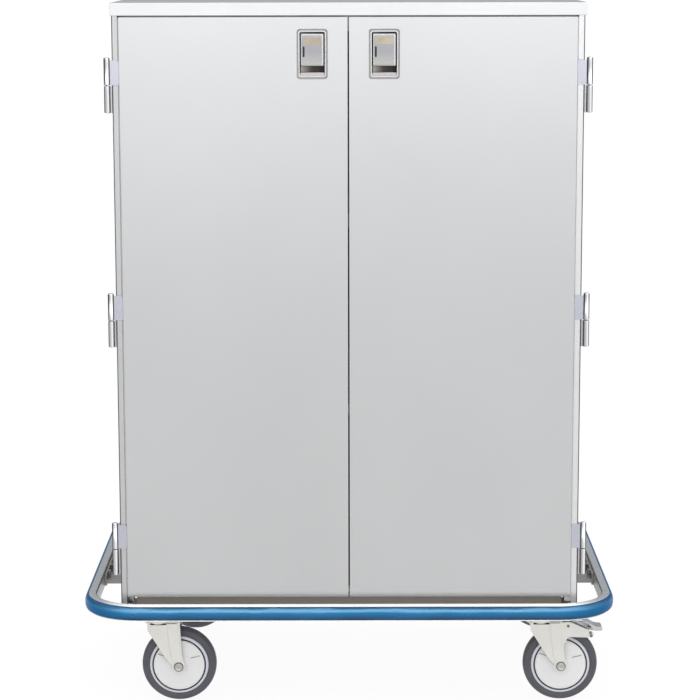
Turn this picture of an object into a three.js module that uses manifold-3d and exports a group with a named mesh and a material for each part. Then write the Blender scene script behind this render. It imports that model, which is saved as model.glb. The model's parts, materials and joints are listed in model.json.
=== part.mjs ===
// Closed two-door stainless transport cart on four swivel casters.
// Units are millimetres, +Z is up and the doors face -Y. The origin lies on the floor, under the
// centre of the bumper ring.

import * as THREE from 'three';
import { mergeVertices } from 'three/addons/utils/BufferGeometryUtils.js';
import Module from 'manifold-3d';

const wasm = await Module();
wasm.setup();

// ---------------------------------------------------------------- driving dimensions

const GAP = 0.3; // clearance between pieces that touch
const SHEET = 1.5; // sheet thickness of the body panels
const SEAM_OVERLAP = 0.5; // how far joined solids run into each other

// Cabinet
const CABINET_HALF_WIDTH = 459;
const CABINET_HALF_DEPTH = 340;
const SIDE_BOTTOM = 219.5;
const SIDE_TOP = 1419.1;
const FRONT_FLANGE = 11.9;
const REAR_FLANGE = 26;
const PILASTER_WIDTH = 22;
const PILASTER_DEPTH = 8;
const PILASTER_Y = 230;
const PILASTER_BOTTOM = 265.5;
const PILASTER_TOP = 1367.5;
const CAP_TOP = 1421.5;
const CAP_LIP = 24.8;
const CAP_SHEET = 2;
const CAP_HALF_WIDTH = 462;
const CAP_FRONT = -346;
const CAP_BACK = 343;
const HEADER = { clearance: 2.5, drop: 28, foot: 20 };
const FLOOR_LIP = 12;
const FLOOR_FRONT = -316;
const SHELF_HEIGHTS = [623.5, 1003.5];
const SHELF_LIP = 24;
const SHELF_FRONT = -296;
const SHELF_BACK = 330;
const SHELF_HALF_WIDTH = 449.1;

// Base frame
const BASE_TOP = 239.5;
const BASE_BOTTOM = 199.5;
const BASE_HALF_DEPTH = 313;
const BASE_RAIL = 30;
const BASE_HALF_WIDTH = 430;
const LONG_RAIL_INNER = 350;
const LONG_RAIL_OUTER = 390;
const CORNER_POST_INNER = 436;
const CASTER_PAD = { halfX: 59, halfY: 48, thickness: 6 };

// Doors
const DOOR_FACE = -343.5;
const DOOR_THICKNESS = 25;
const DOOR_EDGE = 445.1;
const DOOR_CENTRE_GAP = 3;
const DOOR_BOTTOM = 237.2;
const DOOR_TOP = 1393.5;
const LINER = 1.2;
const STIFFENER = { width: 40, depth: 16, inset: 30, centres: [150, 350] };

// Latches
const LATCH_X = 70;
const LATCH_Z = 1322.5;
const BEZEL = { width: 60, height: 97, thickness: 2, radius: 6 };
const RECESS = { width: 48, height: 84, depth: 15, radius: 3, slope: 8 };
const PADDLE = { width: 45.4, height: 63, plate: 3, returns: 8, topGap: 2.3, sunk: 0.4, side: 2 };
const BOLT = { width: 14, depth: 5, length: 87, bevel: 6, behind: 2 };
const STRIKE = { width: 20, depth: 10 };

// Hinges
const HINGE_AXIS_X = 469;
const HINGE_SPLITS = [1262.5, 800.5, 336.9];
const HINGE_HALF = 54;
const KNUCKLE_RADIUS = 6;
const PIN_RADIUS = 3.2;
const LEAF = 2.6;
const FRAME_LEAF = { near: 5, far: 42, web: 6 };
const DOOR_LEAF_HEIGHT = 48.5;
const PIN_SHORT = 12;
const BORE_SHORT = 8;
const DOME = [[0, 4], [1.2, 1.6], [3, 0.4]];

// Bumper
const RAIL_HALF_WIDTH = 530;
const RAIL_HALF_DEPTH = 394;
const RAIL_CORNER = 112;
const RAIL_BOTTOM = 200;
const RAIL_TOP = 232;
const RAIL_DEPTH = 16;
const RAIL_SHEET = 2.5;
const STRIP_PROUD = 8;
const STRIP_EDGE = 1;
const STRIP_FULLNESS = 0.6;
const STRIP_STEPS = 8;
const RAIL_JOINT_Y = -60;
const ARC_STEPS = 7;
const BRACKET = { halfLength: 130, top: 216.5, bottom: 207.5, wall: 4, tabInset: [3, 4] };
const BOLT_ROW = [-95, -45, 45, 95];
const BOLT_HEAD = { across: 11, height: 5, lift: 0.2 };

// Casters
const KINGPIN_X = 390.7;
const KINGPIN_Y = 264;
const TRAIL = 41.8;
const WHEEL_RADIUS = 76.2;
const TYRE_INNER = 60.5;
const PAD_BOTTOM = BASE_BOTTOM - CASTER_PAD.thickness;
const RACE_RADIUS = 34;
const RACE_HEIGHT = 6.7;
const RACE_STEP = 4;
const CROWN_BOTTOM = 164;
const CROWN_PLATE = 6;
const CROWN = { back: -21, front: 45 };
const KINGPIN_RADIUS = 9;
const KINGPIN_NUT = { radius: 13, height: 6 };
const CASTER_PLATE = { halfX: 57, halfY: 46, thickness: 5 };
const PLATE_BOLT = { x: 45, y: 35, radius: 7, height: 5.5 };
const FORK_INNER = 26.5;
const FORK_PLATE = 3.5;
const FORK_BOSS = 13;
const AXLE_RADIUS = 6;
const AXLE_HALF = 36.5;
const AXLE_HEAD = 3;
const WHEEL_STEPS = 24;
const ROUND_STEPS = 16;
const SMALL_ROUND_STEPS = 12;
const HEX = 6;
const FORK_RIB = 2;
const BRAKE_PIN = 3;
const PEDAL = { pivotX: 56, pivotZ: 160.5, halfWidth: 17, hub: 6 };

// ---------------------------------------------------------------- materials

const STEEL = { color: 0xd6d7d8, roughness: 0.32, metalness: 0.95 };
const POLISHED = { color: 0xdcdcdc, roughness: 0.15, metalness: 1 };
const LATCH_STEEL = { color: 0xa9a8a6, roughness: 0.3, metalness: 0.9 };
const CASTER_STEEL = { color: 0xd8d6ce, roughness: 0.4, metalness: 0.6 };
const BLUE_STRIP = { color: 0x2f6fa6, roughness: 0.35, metalness: 0 };
const TYRE_GREY = { color: 0x4b4a52, roughness: 0.7, metalness: 0 };
const CORE_IVORY = { color: 0xe2e0da, roughness: 0.45, metalness: 0 };

// ---------------------------------------------------------------- solid helpers

function toSolid(geometry) {
  const bare = geometry.clone();
  bare.deleteAttribute('normal');
  bare.deleteAttribute('uv');
  const merged = mergeVertices(bare, 1e-4);
  return new wasm.Manifold(new wasm.Mesh({
    numProp: 3,
    vertProperties: new Float32Array(merged.attributes.position.array),
    triVerts: new Uint32Array(merged.index.array),
  }));
}

function toGeometry(solid) {
  const mesh = solid.getMesh();
  const geometry = new THREE.BufferGeometry();
  geometry.setAttribute('position', new THREE.BufferAttribute(mesh.vertProperties, 3));
  geometry.setIndex(new THREE.BufferAttribute(mesh.triVerts, 1));
  geometry.computeVertexNormals();
  return geometry;
}

function join(...solids) {
  return solids.reduce((whole, solid) => whole.add(solid));
}

function box(x0, x1, y0, y1, z0, z1) {
  const geometry = new THREE.BoxGeometry(Math.abs(x1 - x0), Math.abs(y1 - y0), Math.abs(z1 - z0));
  geometry.translate((x0 + x1) / 2, (y0 + y1) / 2, (z0 + z1) / 2);
  return toSolid(geometry);
}

// An outline drawn in X and Z, extruded along Y.
function prismY(shape, y0, y1, curveSegments = 3) {
  const geometry = new THREE.ExtrudeGeometry(shape, {
    depth: y1 - y0, bevelEnabled: false, curveSegments,
  });
  geometry.rotateX(Math.PI / 2);
  geometry.translate(0, y1, 0);
  return toSolid(geometry);
}

// An outline drawn in Y and Z, extruded along X.
function prismX(shape, x0, x1) {
  const geometry = new THREE.ExtrudeGeometry(shape, { depth: x1 - x0, bevelEnabled: false });
  geometry.applyMatrix4(new THREE.Matrix4().makeBasis(
    new THREE.Vector3(0, 1, 0), new THREE.Vector3(0, 0, 1), new THREE.Vector3(1, 0, 0),
  ));
  geometry.translate(x0, 0, 0);
  return toSolid(geometry);
}

// A profile of [radius, height] pairs turned about an upright axis through (x, y).
function turnZ(profile, x, y, steps) {
  const geometry = new THREE.LatheGeometry(profile.map(([r, h]) => new THREE.Vector2(r, h)), steps);
  geometry.rotateX(Math.PI / 2);
  geometry.translate(x, y, 0);
  return toSolid(geometry);
}

// A profile of [radius, offset] pairs turned about an axis along Y through (x, z), with a flat
// facet at the bottom.
function turnY(profile, x, z, steps) {
  const points = profile.map(([r, h]) => new THREE.Vector2(r, h));
  const geometry = new THREE.LatheGeometry(points, steps, Math.PI / steps);
  geometry.translate(x, 0, z);
  return toSolid(geometry);
}

function rod(radius, from, to) {
  return [[0, from], [radius, from], [radius, to], [0, to]];
}

function roundedRectangle(centreX, centreZ, width, height, radius) {
  const shape = new THREE.Shape();
  const x = centreX - width / 2;
  const z = centreZ - height / 2;
  shape.moveTo(x + radius, z);
  shape.lineTo(x + width - radius, z);
  shape.absarc(x + width - radius, z + radius, radius, -Math.PI / 2, 0);
  shape.lineTo(x + width, z + height - radius);
  shape.absarc(x + width - radius, z + height - radius, radius, 0, Math.PI / 2);
  shape.lineTo(x + radius, z + height);
  shape.absarc(x + radius, z + height - radius, radius, Math.PI / 2, Math.PI);
  shape.lineTo(x, z + radius);
  shape.absarc(x + radius, z + radius, radius, Math.PI, 1.5 * Math.PI);
  return shape;
}

function outline(points) {
  return new THREE.Shape(points.map(([a, b]) => new THREE.Vector2(a, b)));
}

// ---------------------------------------------------------------- scene helpers

const cart = new THREE.Group();

function addPiece(name, solid, look, x = 0, y = 0) {
  const mesh = new THREE.Mesh(toGeometry(solid), new THREE.MeshStandardMaterial(look));
  mesh.name = name;
  mesh.position.set(x, y, 0);
  cart.add(mesh);
}

const SIDES = [
  { word: 'left', sign: -1 },
  { word: 'right', sign: 1 },
];

// ---------------------------------------------------------------- cabinet shell

function sidePanel(sign) {
  const outer = sign * CABINET_HALF_WIDTH;
  const inner = outer - sign * SHEET;
  const weld = inner + sign * SEAM_OVERLAP;
  const back = CABINET_HALF_DEPTH;
  const wall = box(outer, inner, -back, back, SIDE_BOTTOM, SIDE_TOP);
  const frontInner = outer - sign * FRONT_FLANGE;
  const frontFlange = box(outer, frontInner, -back, SHEET - back, SIDE_BOTTOM, SIDE_TOP);
  const rearInner = outer - sign * REAR_FLANGE;
  const rearFlange = box(outer, rearInner, back - SHEET, back, SIDE_BOTTOM, SIDE_TOP);
  const pilasters = [-PILASTER_Y, PILASTER_Y].map((y) => box(
    weld, inner - sign * PILASTER_DEPTH,
    y - PILASTER_WIDTH / 2, y + PILASTER_WIDTH / 2, PILASTER_BOTTOM, PILASTER_TOP,
  ));
  const posts = [-1, 1].map((end) => {
    const face = end * BASE_HALF_DEPTH;
    return box(weld, sign * CORNER_POST_INNER, face, face - end * SHEET, SIDE_BOTTOM, BASE_TOP - GAP);
  });
  return join(wall, frontFlange, rearFlange, ...pilasters, ...posts);
}

function backPanel() {
  const half = CABINET_HALF_WIDTH - SHEET - GAP;
  const rear = CABINET_HALF_DEPTH - SHEET - GAP;
  return box(-half, half, rear - SHEET, rear, BASE_TOP + GAP, SIDE_TOP - GAP);
}

// A sheet with its edges turned up or down all round.
function tray(halfWidth, y0, y1, sheetLow, sheetHigh, lipLow, lipHigh, thickness) {
  const bottom = Math.min(sheetLow, lipLow);
  const top = Math.max(sheetHigh, lipHigh);
  const whole = box(-halfWidth, halfWidth, y0, y1, bottom, top);
  const inner = halfWidth - thickness;
  const hollowLow = lipLow < sheetLow ? lipLow - 1 : sheetHigh;
  const hollowHigh = lipLow < sheetLow ? sheetLow : lipHigh + 1;
  const hollow = box(-inner, inner, y0 + thickness, y1 - thickness, hollowLow, hollowHigh);
  return whole.subtract(hollow);
}

function floorPan() {
  const half = CABINET_HALF_WIDTH - SHEET - GAP;
  const back = CABINET_HALF_DEPTH - 2 * (SHEET + GAP) - GAP;
  const low = BASE_TOP + GAP;
  return tray(half, FLOOR_FRONT, back, low, low + SHEET, low, low + FLOOR_LIP, SHEET);
}

function topCap() {
  return tray(CAP_HALF_WIDTH, CAP_FRONT, CAP_BACK, CAP_TOP - CAP_SHEET, CAP_TOP,
    CAP_TOP - CAP_LIP, CAP_TOP, SHEET);
}

function shelf(height) {
  return tray(SHELF_HALF_WIDTH, SHELF_FRONT, SHELF_BACK, height - SHEET, height,
    height - SHELF_LIP, height, SHEET);
}

// The front header: a web behind the door tops and a ledge over them with the two strike slots.
function headerRail() {
  const half = CABINET_HALF_WIDTH - SHEET - GAP;
  const doorBack = DOOR_FACE + DOOR_THICKNESS;
  const webFront = doorBack + HEADER.clearance;
  const webBack = webFront + SHEET;
  const webBottom = DOOR_TOP - HEADER.drop;
  const ledgeFront = SHEET + GAP - CABINET_HALF_DEPTH;
  const ledgeBottom = DOOR_TOP + HEADER.clearance;
  const ledgeTop = ledgeBottom + SHEET;
  const web = box(-half, half, webFront, webBack, webBottom, SIDE_TOP - GAP);
  const ledge = box(-half, half, ledgeFront, webBack, ledgeBottom, ledgeTop);
  const foot = box(-half, half, webFront, webBack + HEADER.foot, webBottom, webBottom + SHEET);
  const slots = SIDES.map(({ sign }) => box(
    sign * LATCH_X - STRIKE.width / 2, sign * LATCH_X + STRIKE.width / 2,
    doorBack - STRIKE.depth, doorBack, ledgeBottom - 1, ledgeTop + 1,
  ));
  return join(web, ledge, foot).subtract(join(...slots));
}

// ---------------------------------------------------------------- base frame

function baseFrame() {
  const d = BASE_HALF_DEPTH;
  const ends = [-1, 1].map((end) => box(
    -BASE_HALF_WIDTH, BASE_HALF_WIDTH, end * d, end * (d - BASE_RAIL), BASE_BOTTOM, BASE_TOP,
  ));
  const longs = [-1, 1].map((side) => box(
    side * LONG_RAIL_INNER, side * LONG_RAIL_OUTER,
    BASE_RAIL - d - SEAM_OVERLAP, d - BASE_RAIL + SEAM_OVERLAP, BASE_BOTTOM, BASE_TOP,
  ));
  const cross = box(-LONG_RAIL_INNER - SEAM_OVERLAP, LONG_RAIL_INNER + SEAM_OVERLAP,
    -BASE_RAIL / 2, BASE_RAIL / 2, BASE_BOTTOM, BASE_TOP);
  const pads = [];
  for (const sx of [-1, 1]) {
    for (const sy of [-1, 1]) {
      pads.push(box(
        sx * KINGPIN_X - CASTER_PAD.halfX, sx * KINGPIN_X + CASTER_PAD.halfX,
        sy * KINGPIN_Y - CASTER_PAD.halfY, sy * KINGPIN_Y + CASTER_PAD.halfY,
        PAD_BOTTOM, BASE_BOTTOM + SEAM_OVERLAP,
      ));
    }
  }
  return join(...ends, ...longs, cross, ...pads);
}

// ---------------------------------------------------------------- doors

function doorSkin(sign) {
  const hinge = sign * DOOR_EDGE;
  const free = sign * DOOR_CENTRE_GAP / 2;
  const rear = DOOR_FACE + DOOR_THICKNESS - LINER - GAP;
  const whole = box(hinge, free, DOOR_FACE, rear, DOOR_BOTTOM, DOOR_TOP);
  const hollow = box(hinge - sign * SHEET, free + sign * SHEET, DOOR_FACE + SHEET, rear + 1,
    DOOR_BOTTOM + SHEET, DOOR_TOP - SHEET);
  const margin = 2 * (SHEET + GAP);
  const latchX = sign * LATCH_X;
  const cutout = prismY(
    roundedRectangle(latchX, LATCH_Z, RECESS.width + margin, RECESS.height + margin, RECESS.radius),
    DOOR_FACE - 1, DOOR_FACE + SHEET + 1,
  );
  const halfHole = BOLT.width / 2 + 1;
  const boltHole = box(
    latchX - halfHole, latchX + halfHole,
    boltFront() - 1, boltFront() + BOLT.depth + 1, DOOR_TOP - SHEET - 1, DOOR_TOP + 1,
  );
  return whole.subtract(hollow).subtract(cutout).subtract(boltHole);
}

// The inner liner closes the back of the door and carries two folded stiffeners.
function doorLiner(sign) {
  const back = DOOR_FACE + DOOR_THICKNESS;
  const front = back - LINER;
  const plate = box(sign * (DOOR_EDGE - 1), sign * (DOOR_CENTRE_GAP / 2 + 1), front, back,
    DOOR_BOTTOM + 1, DOOR_TOP - 1);
  const stiffeners = STIFFENER.centres.map((centre) => {
    const low = centre - STIFFENER.width / 2;
    const high = centre + STIFFENER.width / 2;
    const proud = front - STIFFENER.depth;
    const bar = box(sign * low, sign * high, proud, front + SEAM_OVERLAP,
      DOOR_BOTTOM + STIFFENER.inset, DOOR_TOP - STIFFENER.inset);
    const bore = box(sign * (low + LINER), sign * (high - LINER), proud + LINER, front,
      DOOR_BOTTOM, DOOR_TOP);
    return bar.subtract(bore);
  });
  return join(plate, ...stiffeners);
}

// ---------------------------------------------------------------- latches

function boltFront() {
  return DOOR_FACE + DOOR_THICKNESS - LINER - BOLT.behind - BOLT.depth;
}

// The bezel and the tray behind it, open to the front.
function latchPan(sign) {
  const x = sign * LATCH_X;
  const bezelBack = DOOR_FACE - GAP;
  const bezelFront = bezelBack - BEZEL.thickness;
  const bezel = prismY(roundedRectangle(x, LATCH_Z, BEZEL.width, BEZEL.height, BEZEL.radius),
    bezelFront, bezelBack);
  const tub = prismY(
    roundedRectangle(x, LATCH_Z, RECESS.width + 2 * SHEET, RECESS.height + 2 * SHEET, RECESS.radius),
    bezelBack - SEAM_OVERLAP, bezelFront + RECESS.depth + SHEET,
  );
  const floor = bezelFront + RECESS.depth;
  const hollow = prismY(roundedRectangle(x, LATCH_Z, RECESS.width, RECESS.height, RECESS.radius),
    bezelFront - 1, floor);
  const bottom = LATCH_Z - RECESS.height / 2;
  const slope = prismX(outline([
    [bezelFront + 0.5, bottom - SEAM_OVERLAP], [floor + SEAM_OVERLAP, bottom - SEAM_OVERLAP],
    [floor + SEAM_OVERLAP, bottom + RECESS.slope],
  ]), x - RECESS.width / 2 - SEAM_OVERLAP, x + RECESS.width / 2 + SEAM_OVERLAP);
  return join(bezel, tub).subtract(hollow).add(slope);
}

// The paddle hangs from its top edge: a plate with two side returns.
function paddle(sign) {
  const x = sign * LATCH_X;
  const top = LATCH_Z + RECESS.height / 2 - PADDLE.topGap;
  const front = DOOR_FACE - GAP - BEZEL.thickness + PADDLE.sunk;
  const back = front + PADDLE.plate;
  const half = PADDLE.width / 2;
  const plate = prismY(
    roundedRectangle(x, top - PADDLE.height / 2, PADDLE.width, PADDLE.height, PADDLE.side),
    front, back,
  );
  const returnBottom = top - PADDLE.height + PADDLE.returns;
  const returns = [-1, 1].map((side) => box(
    x + side * half, x + side * (half - PADDLE.side), back - SEAM_OVERLAP,
    front + PADDLE.returns, returnBottom, top - PADDLE.plate,
  ));
  return join(plate, ...returns);
}

function latchBolt(sign) {
  const x = sign * LATCH_X;
  const front = boltFront();
  const top = DOOR_TOP - GAP;
  const bottom = top - BOLT.length;
  const back = front + BOLT.depth;
  const side = outline([
    [front, bottom], [back, bottom], [back, top - BOLT.bevel], [front + BOLT.depth / 3, top], [front, top],
  ]);
  return prismX(side, x - BOLT.width / 2, x + BOLT.width / 2);
}

// ---------------------------------------------------------------- hinges

// The frame half: a leaf on the side wall, the lower knuckle and the upright pin.
function frameLeaf(sign, split) {
  const wall = sign * (CABINET_HALF_WIDTH + GAP);
  const axis = sign * HINGE_AXIS_X;
  const bottom = split - HINGE_HALF;
  const top = split - GAP;
  const pinTop = split + HINGE_HALF - PIN_SHORT;
  const near = DOOR_FACE + FRAME_LEAF.near;
  const leaf = box(wall, wall + sign * LEAF, near, DOOR_FACE + FRAME_LEAF.far, bottom, top);
  const web = box(wall, axis, DOOR_FACE - SHEET, DOOR_FACE + FRAME_LEAF.web, bottom, top);
  const chamfer = PIN_RADIUS / 2;
  const knuckle = turnZ([
    [0, bottom], [KNUCKLE_RADIUS - chamfer, bottom], [KNUCKLE_RADIUS, bottom + chamfer],
    [KNUCKLE_RADIUS, top], [PIN_RADIUS, top], [PIN_RADIUS, pinTop], [0, pinTop + chamfer],
  ], axis, DOOR_FACE, ROUND_STEPS);
  return join(leaf, web, knuckle);
}

// The door half: a domed upper knuckle with a blind bore, and a strap to the door's edge.
function doorLeaf(sign, split) {
  const axis = sign * HINGE_AXIS_X;
  const bottom = split + GAP;
  const top = split + HINGE_HALF;
  const dome = DOME.map(([inset, drop]) => [KNUCKLE_RADIUS - inset, top - drop]);
  const profile = [[0, bottom], [KNUCKLE_RADIUS, bottom], ...dome, [0, top]];
  const knuckle = turnZ(profile, axis, DOOR_FACE, ROUND_STEPS);
  const strap = box(axis, sign * (DOOR_EDGE + GAP), DOOR_FACE, DOOR_FACE + LEAF,
    bottom, split + DOOR_LEAF_HEIGHT);
  const drilling = rod(PIN_RADIUS + GAP, bottom - 1, top - BORE_SHORT);
  return join(knuckle, strap).subtract(turnZ(drilling, axis, DOOR_FACE, ROUND_STEPS));
}

// ---------------------------------------------------------------- bumper

// Stations along one half of the rounded ring: points on the flange edge with outward normals.
function ringStations(end, joint) {
  const cx = RAIL_HALF_WIDTH - RAIL_CORNER;
  const cy = RAIL_HALF_DEPTH - RAIL_CORNER;
  const stations = [{ x: -RAIL_HALF_WIDTH, y: joint, nx: -1, ny: 0 }];
  for (const corner of [-1, 1]) {
    for (let i = 0; i <= ARC_STEPS; i += 1) {
      const turned = (Math.PI / 2) * (i / ARC_STEPS);
      const across = corner < 0 ? -Math.cos(turned) : Math.sin(turned);
      const along = end * (corner < 0 ? Math.sin(turned) : Math.cos(turned));
      stations.push({
        x: corner * cx + RAIL_CORNER * across,
        y: end * cy + RAIL_CORNER * along,
        nx: across,
        ny: along,
      });
    }
  }
  stations.push({ x: RAIL_HALF_WIDTH, y: joint, nx: 1, ny: 0 });
  return stations;
}

// A section of [outward, height] points carried along the stations, with flat ends.
function sweep(section, stations, flip) {
  const positions = [];
  for (const { x, y, nx, ny } of stations) {
    for (const [out, height] of section) {
      positions.push(x + nx * out, y + ny * out, height);
    }
  }
  const count = section.length;
  const last = (stations.length - 1) * count;
  const triangles = [];
  for (let s = 0; s < stations.length - 1; s += 1) {
    for (let k = 0; k < count; k += 1) {
      const a = s * count + k;
      const b = s * count + ((k + 1) % count);
      triangles.push([a, b, a + count], [b, b + count, a + count]);
    }
  }
  const flat = section.map(([out, height]) => new THREE.Vector2(out, height));
  for (const [a, b, c] of THREE.ShapeUtils.triangulateShape(flat, [])) {
    triangles.push([a, c, b], [last + a, last + b, last + c]);
  }
  const geometry = new THREE.BufferGeometry();
  geometry.setAttribute('position', new THREE.Float32BufferAttribute(positions, 3));
  geometry.setIndex(triangles.flatMap(([a, b, c]) => (flip ? [a, c, b] : [a, b, c])));
  return toSolid(geometry);
}

// An open-fronted channel: web inside, two flanges reaching out to the ring's edge.
function channelSection() {
  const back = -RAIL_DEPTH;
  return [
    [back, RAIL_BOTTOM], [0, RAIL_BOTTOM], [0, RAIL_BOTTOM + RAIL_SHEET],
    [back + RAIL_SHEET, RAIL_BOTTOM + RAIL_SHEET], [back + RAIL_SHEET, RAIL_TOP - RAIL_SHEET],
    [0, RAIL_TOP - RAIL_SHEET], [0, RAIL_TOP], [back, RAIL_TOP],
  ];
}

// The strip fills the channel and stands proud of it in a low arch.
function stripSection() {
  const low = RAIL_BOTTOM + RAIL_SHEET + GAP;
  const high = RAIL_TOP - RAIL_SHEET - GAP;
  const back = RAIL_SHEET + GAP - RAIL_DEPTH;
  const middle = (low + high) / 2;
  const half = (high - low) / 2;
  const rise = STRIP_PROUD - STRIP_EDGE;
  const arch = [[STRIP_EDGE, low]];
  for (let i = 1; i < STRIP_STEPS; i += 1) {
    const angle = Math.PI * (i / STRIP_STEPS - 0.5);
    arch.push([STRIP_EDGE + rise * Math.cos(angle) ** STRIP_FULLNESS, middle + half * Math.sin(angle)]);
  }
  return [[back, low], ...arch, [STRIP_EDGE, high], [back, high]];
}

// A channel that reaches from the long rail to the bumper, with a bolted tab up its web.
function sideBracket(sign) {
  const outer = RAIL_HALF_WIDTH - RAIL_DEPTH - GAP;
  const inner = LONG_RAIL_OUTER + GAP;
  const { halfLength, top, bottom, wall, tabInset } = BRACKET;
  const face = outer - wall;
  const bar = box(sign * inner, sign * outer, -halfLength, halfLength, bottom, top);
  const hollow = box(sign * (inner - 1), sign * face, wall - halfLength, halfLength - wall,
    bottom - 1, top - wall);
  const tab = box(sign * face, sign * outer, -halfLength, halfLength,
    RAIL_BOTTOM + tabInset[0], RAIL_TOP - tabInset[1]);
  const headBottom = top + BOLT_HEAD.lift;
  const half = BOLT_HEAD.across / 2;
  const heads = BOLT_ROW.map((y) => box(
    sign * (face + 1), sign * (face - BOLT_HEAD.height), y - half, y + half,
    headBottom, headBottom + BOLT_HEAD.across,
  ));
  return join(bar.subtract(hollow), tab, ...heads);
}

// ---------------------------------------------------------------- casters

// Mounting plate with bolt heads, upper race, kingpin and its nut.
function casterPlate() {
  const { halfX, halfY, thickness } = CASTER_PLATE;
  const top = PAD_BOTTOM - GAP;
  const under = top - thickness;
  const raceBottom = under - RACE_HEIGHT;
  const nutTop = CROWN_BOTTOM - GAP;
  const plate = box(-halfX, halfX, -halfY, halfY, under, top);
  const stem = turnZ([
    [0, nutTop - KINGPIN_NUT.height], [KINGPIN_NUT.radius, nutTop - KINGPIN_NUT.height],
    [KINGPIN_NUT.radius, nutTop], [KINGPIN_RADIUS, nutTop], [KINGPIN_RADIUS, raceBottom],
    [RACE_RADIUS - RACE_STEP, raceBottom], [RACE_RADIUS, under - RACE_HEIGHT / 2],
    [RACE_RADIUS, under + SEAM_OVERLAP], [0, under + SEAM_OVERLAP],
  ], 0, 0, ROUND_STEPS);
  const head = rod(PLATE_BOLT.radius, under - PLATE_BOLT.height, under + SEAM_OVERLAP);
  const bolts = [];
  for (const sx of [-1, 1]) {
    for (const sy of [-1, 1]) {
      bolts.push(turnZ(head, sx * PLATE_BOLT.x, sy * PLATE_BOLT.y, HEX));
    }
  }
  return join(plate, stem, ...bolts);
}

function forkCheek() {
  const shape = new THREE.Shape();
  shape.moveTo(CROWN.back, CROWN_BOTTOM + CROWN_PLATE / 2);
  shape.lineTo(CROWN.back, 152);
  shape.lineTo(-12, 137);
  shape.lineTo(2, 115);
  shape.lineTo(18.5, 88);
  shape.absarc(TRAIL, WHEEL_RADIUS, FORK_BOSS, Math.PI - 0.15, 2 * Math.PI + 0.3);
  shape.lineTo(48, 98);
  shape.lineTo(CROWN.front, CROWN_BOTTOM + CROWN_PLATE / 2);
  return shape;
}

function brakeCheek() {
  return outline([
    [44, 150], [46, 127.5], [54, 137.5], [104.5, 136], [108, 139.5], [107.5, 147.5], [62, 168], [44, 168],
  ]);
}

// The pressed rib that runs down the outside of each side plate to the axle.
function forkRib() {
  const shape = new THREE.Shape();
  const top = CROWN_BOTTOM + CROWN_PLATE / 2 - 1;
  shape.moveTo(19, top);
  shape.lineTo(24, 112);
  shape.absarc(TRAIL, WHEEL_RADIUS, FORK_BOSS - 2.5, Math.PI - 0.3, 2 * Math.PI + 0.3);
  shape.lineTo(CROWN.front - 2, top);
  return shape;
}

// The crown with the lower race and the hole for the kingpin.
function forkCrown() {
  const outer = FORK_INNER + FORK_PLATE;
  const top = PAD_BOTTOM - CASTER_PLATE.thickness - RACE_HEIGHT - 2 * GAP;
  const bridge = box(CROWN.back, CROWN.front, -outer, outer, CROWN_BOTTOM, CROWN_BOTTOM + CROWN_PLATE);
  const race = turnZ([
    [0, CROWN_BOTTOM], [RACE_RADIUS - RACE_STEP, CROWN_BOTTOM], [RACE_RADIUS, CROWN_BOTTOM + RACE_STEP],
    [RACE_RADIUS, top - RACE_STEP], [RACE_RADIUS - RACE_STEP, top], [0, top],
  ], 0, 0, ROUND_STEPS);
  const hole = turnZ(rod(KINGPIN_RADIUS + 1, CROWN_BOTTOM - 1, top + 1), 0, 0, ROUND_STEPS);
  return join(bridge, race).subtract(hole);
}

// Fork: crown, two ribbed side plates with axle holes, and brake cheeks and their pin where fitted.
function casterFork(braked) {
  const outer = FORK_INNER + FORK_PLATE;
  let fork = forkCrown();
  for (const side of [-1, 1]) {
    const near = Math.min(side * FORK_INNER, side * outer);
    const far = Math.max(side * FORK_INNER, side * outer);
    const ribNear = side < 0 ? -outer - FORK_RIB : outer - SEAM_OVERLAP;
    fork = fork.add(prismY(forkCheek(), near, far));
    fork = fork.add(prismY(forkRib(), ribNear, ribNear + FORK_RIB + SEAM_OVERLAP));
    if (braked) {
      fork = fork.add(prismY(brakeCheek(), near, far));
    }
  }
  if (braked) {
    const pin = rod(BRAKE_PIN, -outer - FORK_RIB, outer + FORK_RIB);
    fork = fork.add(turnY(pin, PEDAL.pivotX, PEDAL.pivotZ, SMALL_ROUND_STEPS));
  }
  const reach = outer + FORK_RIB + 1;
  const axleHole = turnY(rod(AXLE_RADIUS + GAP, -reach, reach), TRAIL, WHEEL_RADIUS, SMALL_ROUND_STEPS);
  return fork.subtract(axleHole);
}

function casterAxle() {
  const shoulder = FORK_INNER + FORK_PLATE + FORK_RIB + GAP;
  const head = AXLE_RADIUS + AXLE_HEAD;
  return turnY([
    [0, -AXLE_HALF], [head - 1, -AXLE_HALF], [head, 1 - AXLE_HALF], [head, -shoulder],
    [AXLE_RADIUS, -shoulder], [AXLE_RADIUS, shoulder],
    [head, shoulder], [head, AXLE_HALF - 1], [head - 1, AXLE_HALF], [0, AXLE_HALF],
  ], TRAIL, WHEEL_RADIUS, SMALL_ROUND_STEPS);
}

// A profile given for one half of the wheel's width, mirrored to the other half and closed.
function mirroredRing(half) {
  const other = half.map(([r, h]) => [r, -h]).reverse();
  return [...half, ...other, half[0]];
}

function wheelCore() {
  const half = [
    [AXLE_RADIUS + GAP, -25.5], [13, -25.5], [17, -21], [50.5, -19.5], [52, -17],
    [55.5, -16.3], [TYRE_INNER - GAP, -14.9],
  ];
  return turnY(mirroredRing(half), TRAIL, WHEEL_RADIUS, WHEEL_STEPS);
}

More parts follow.
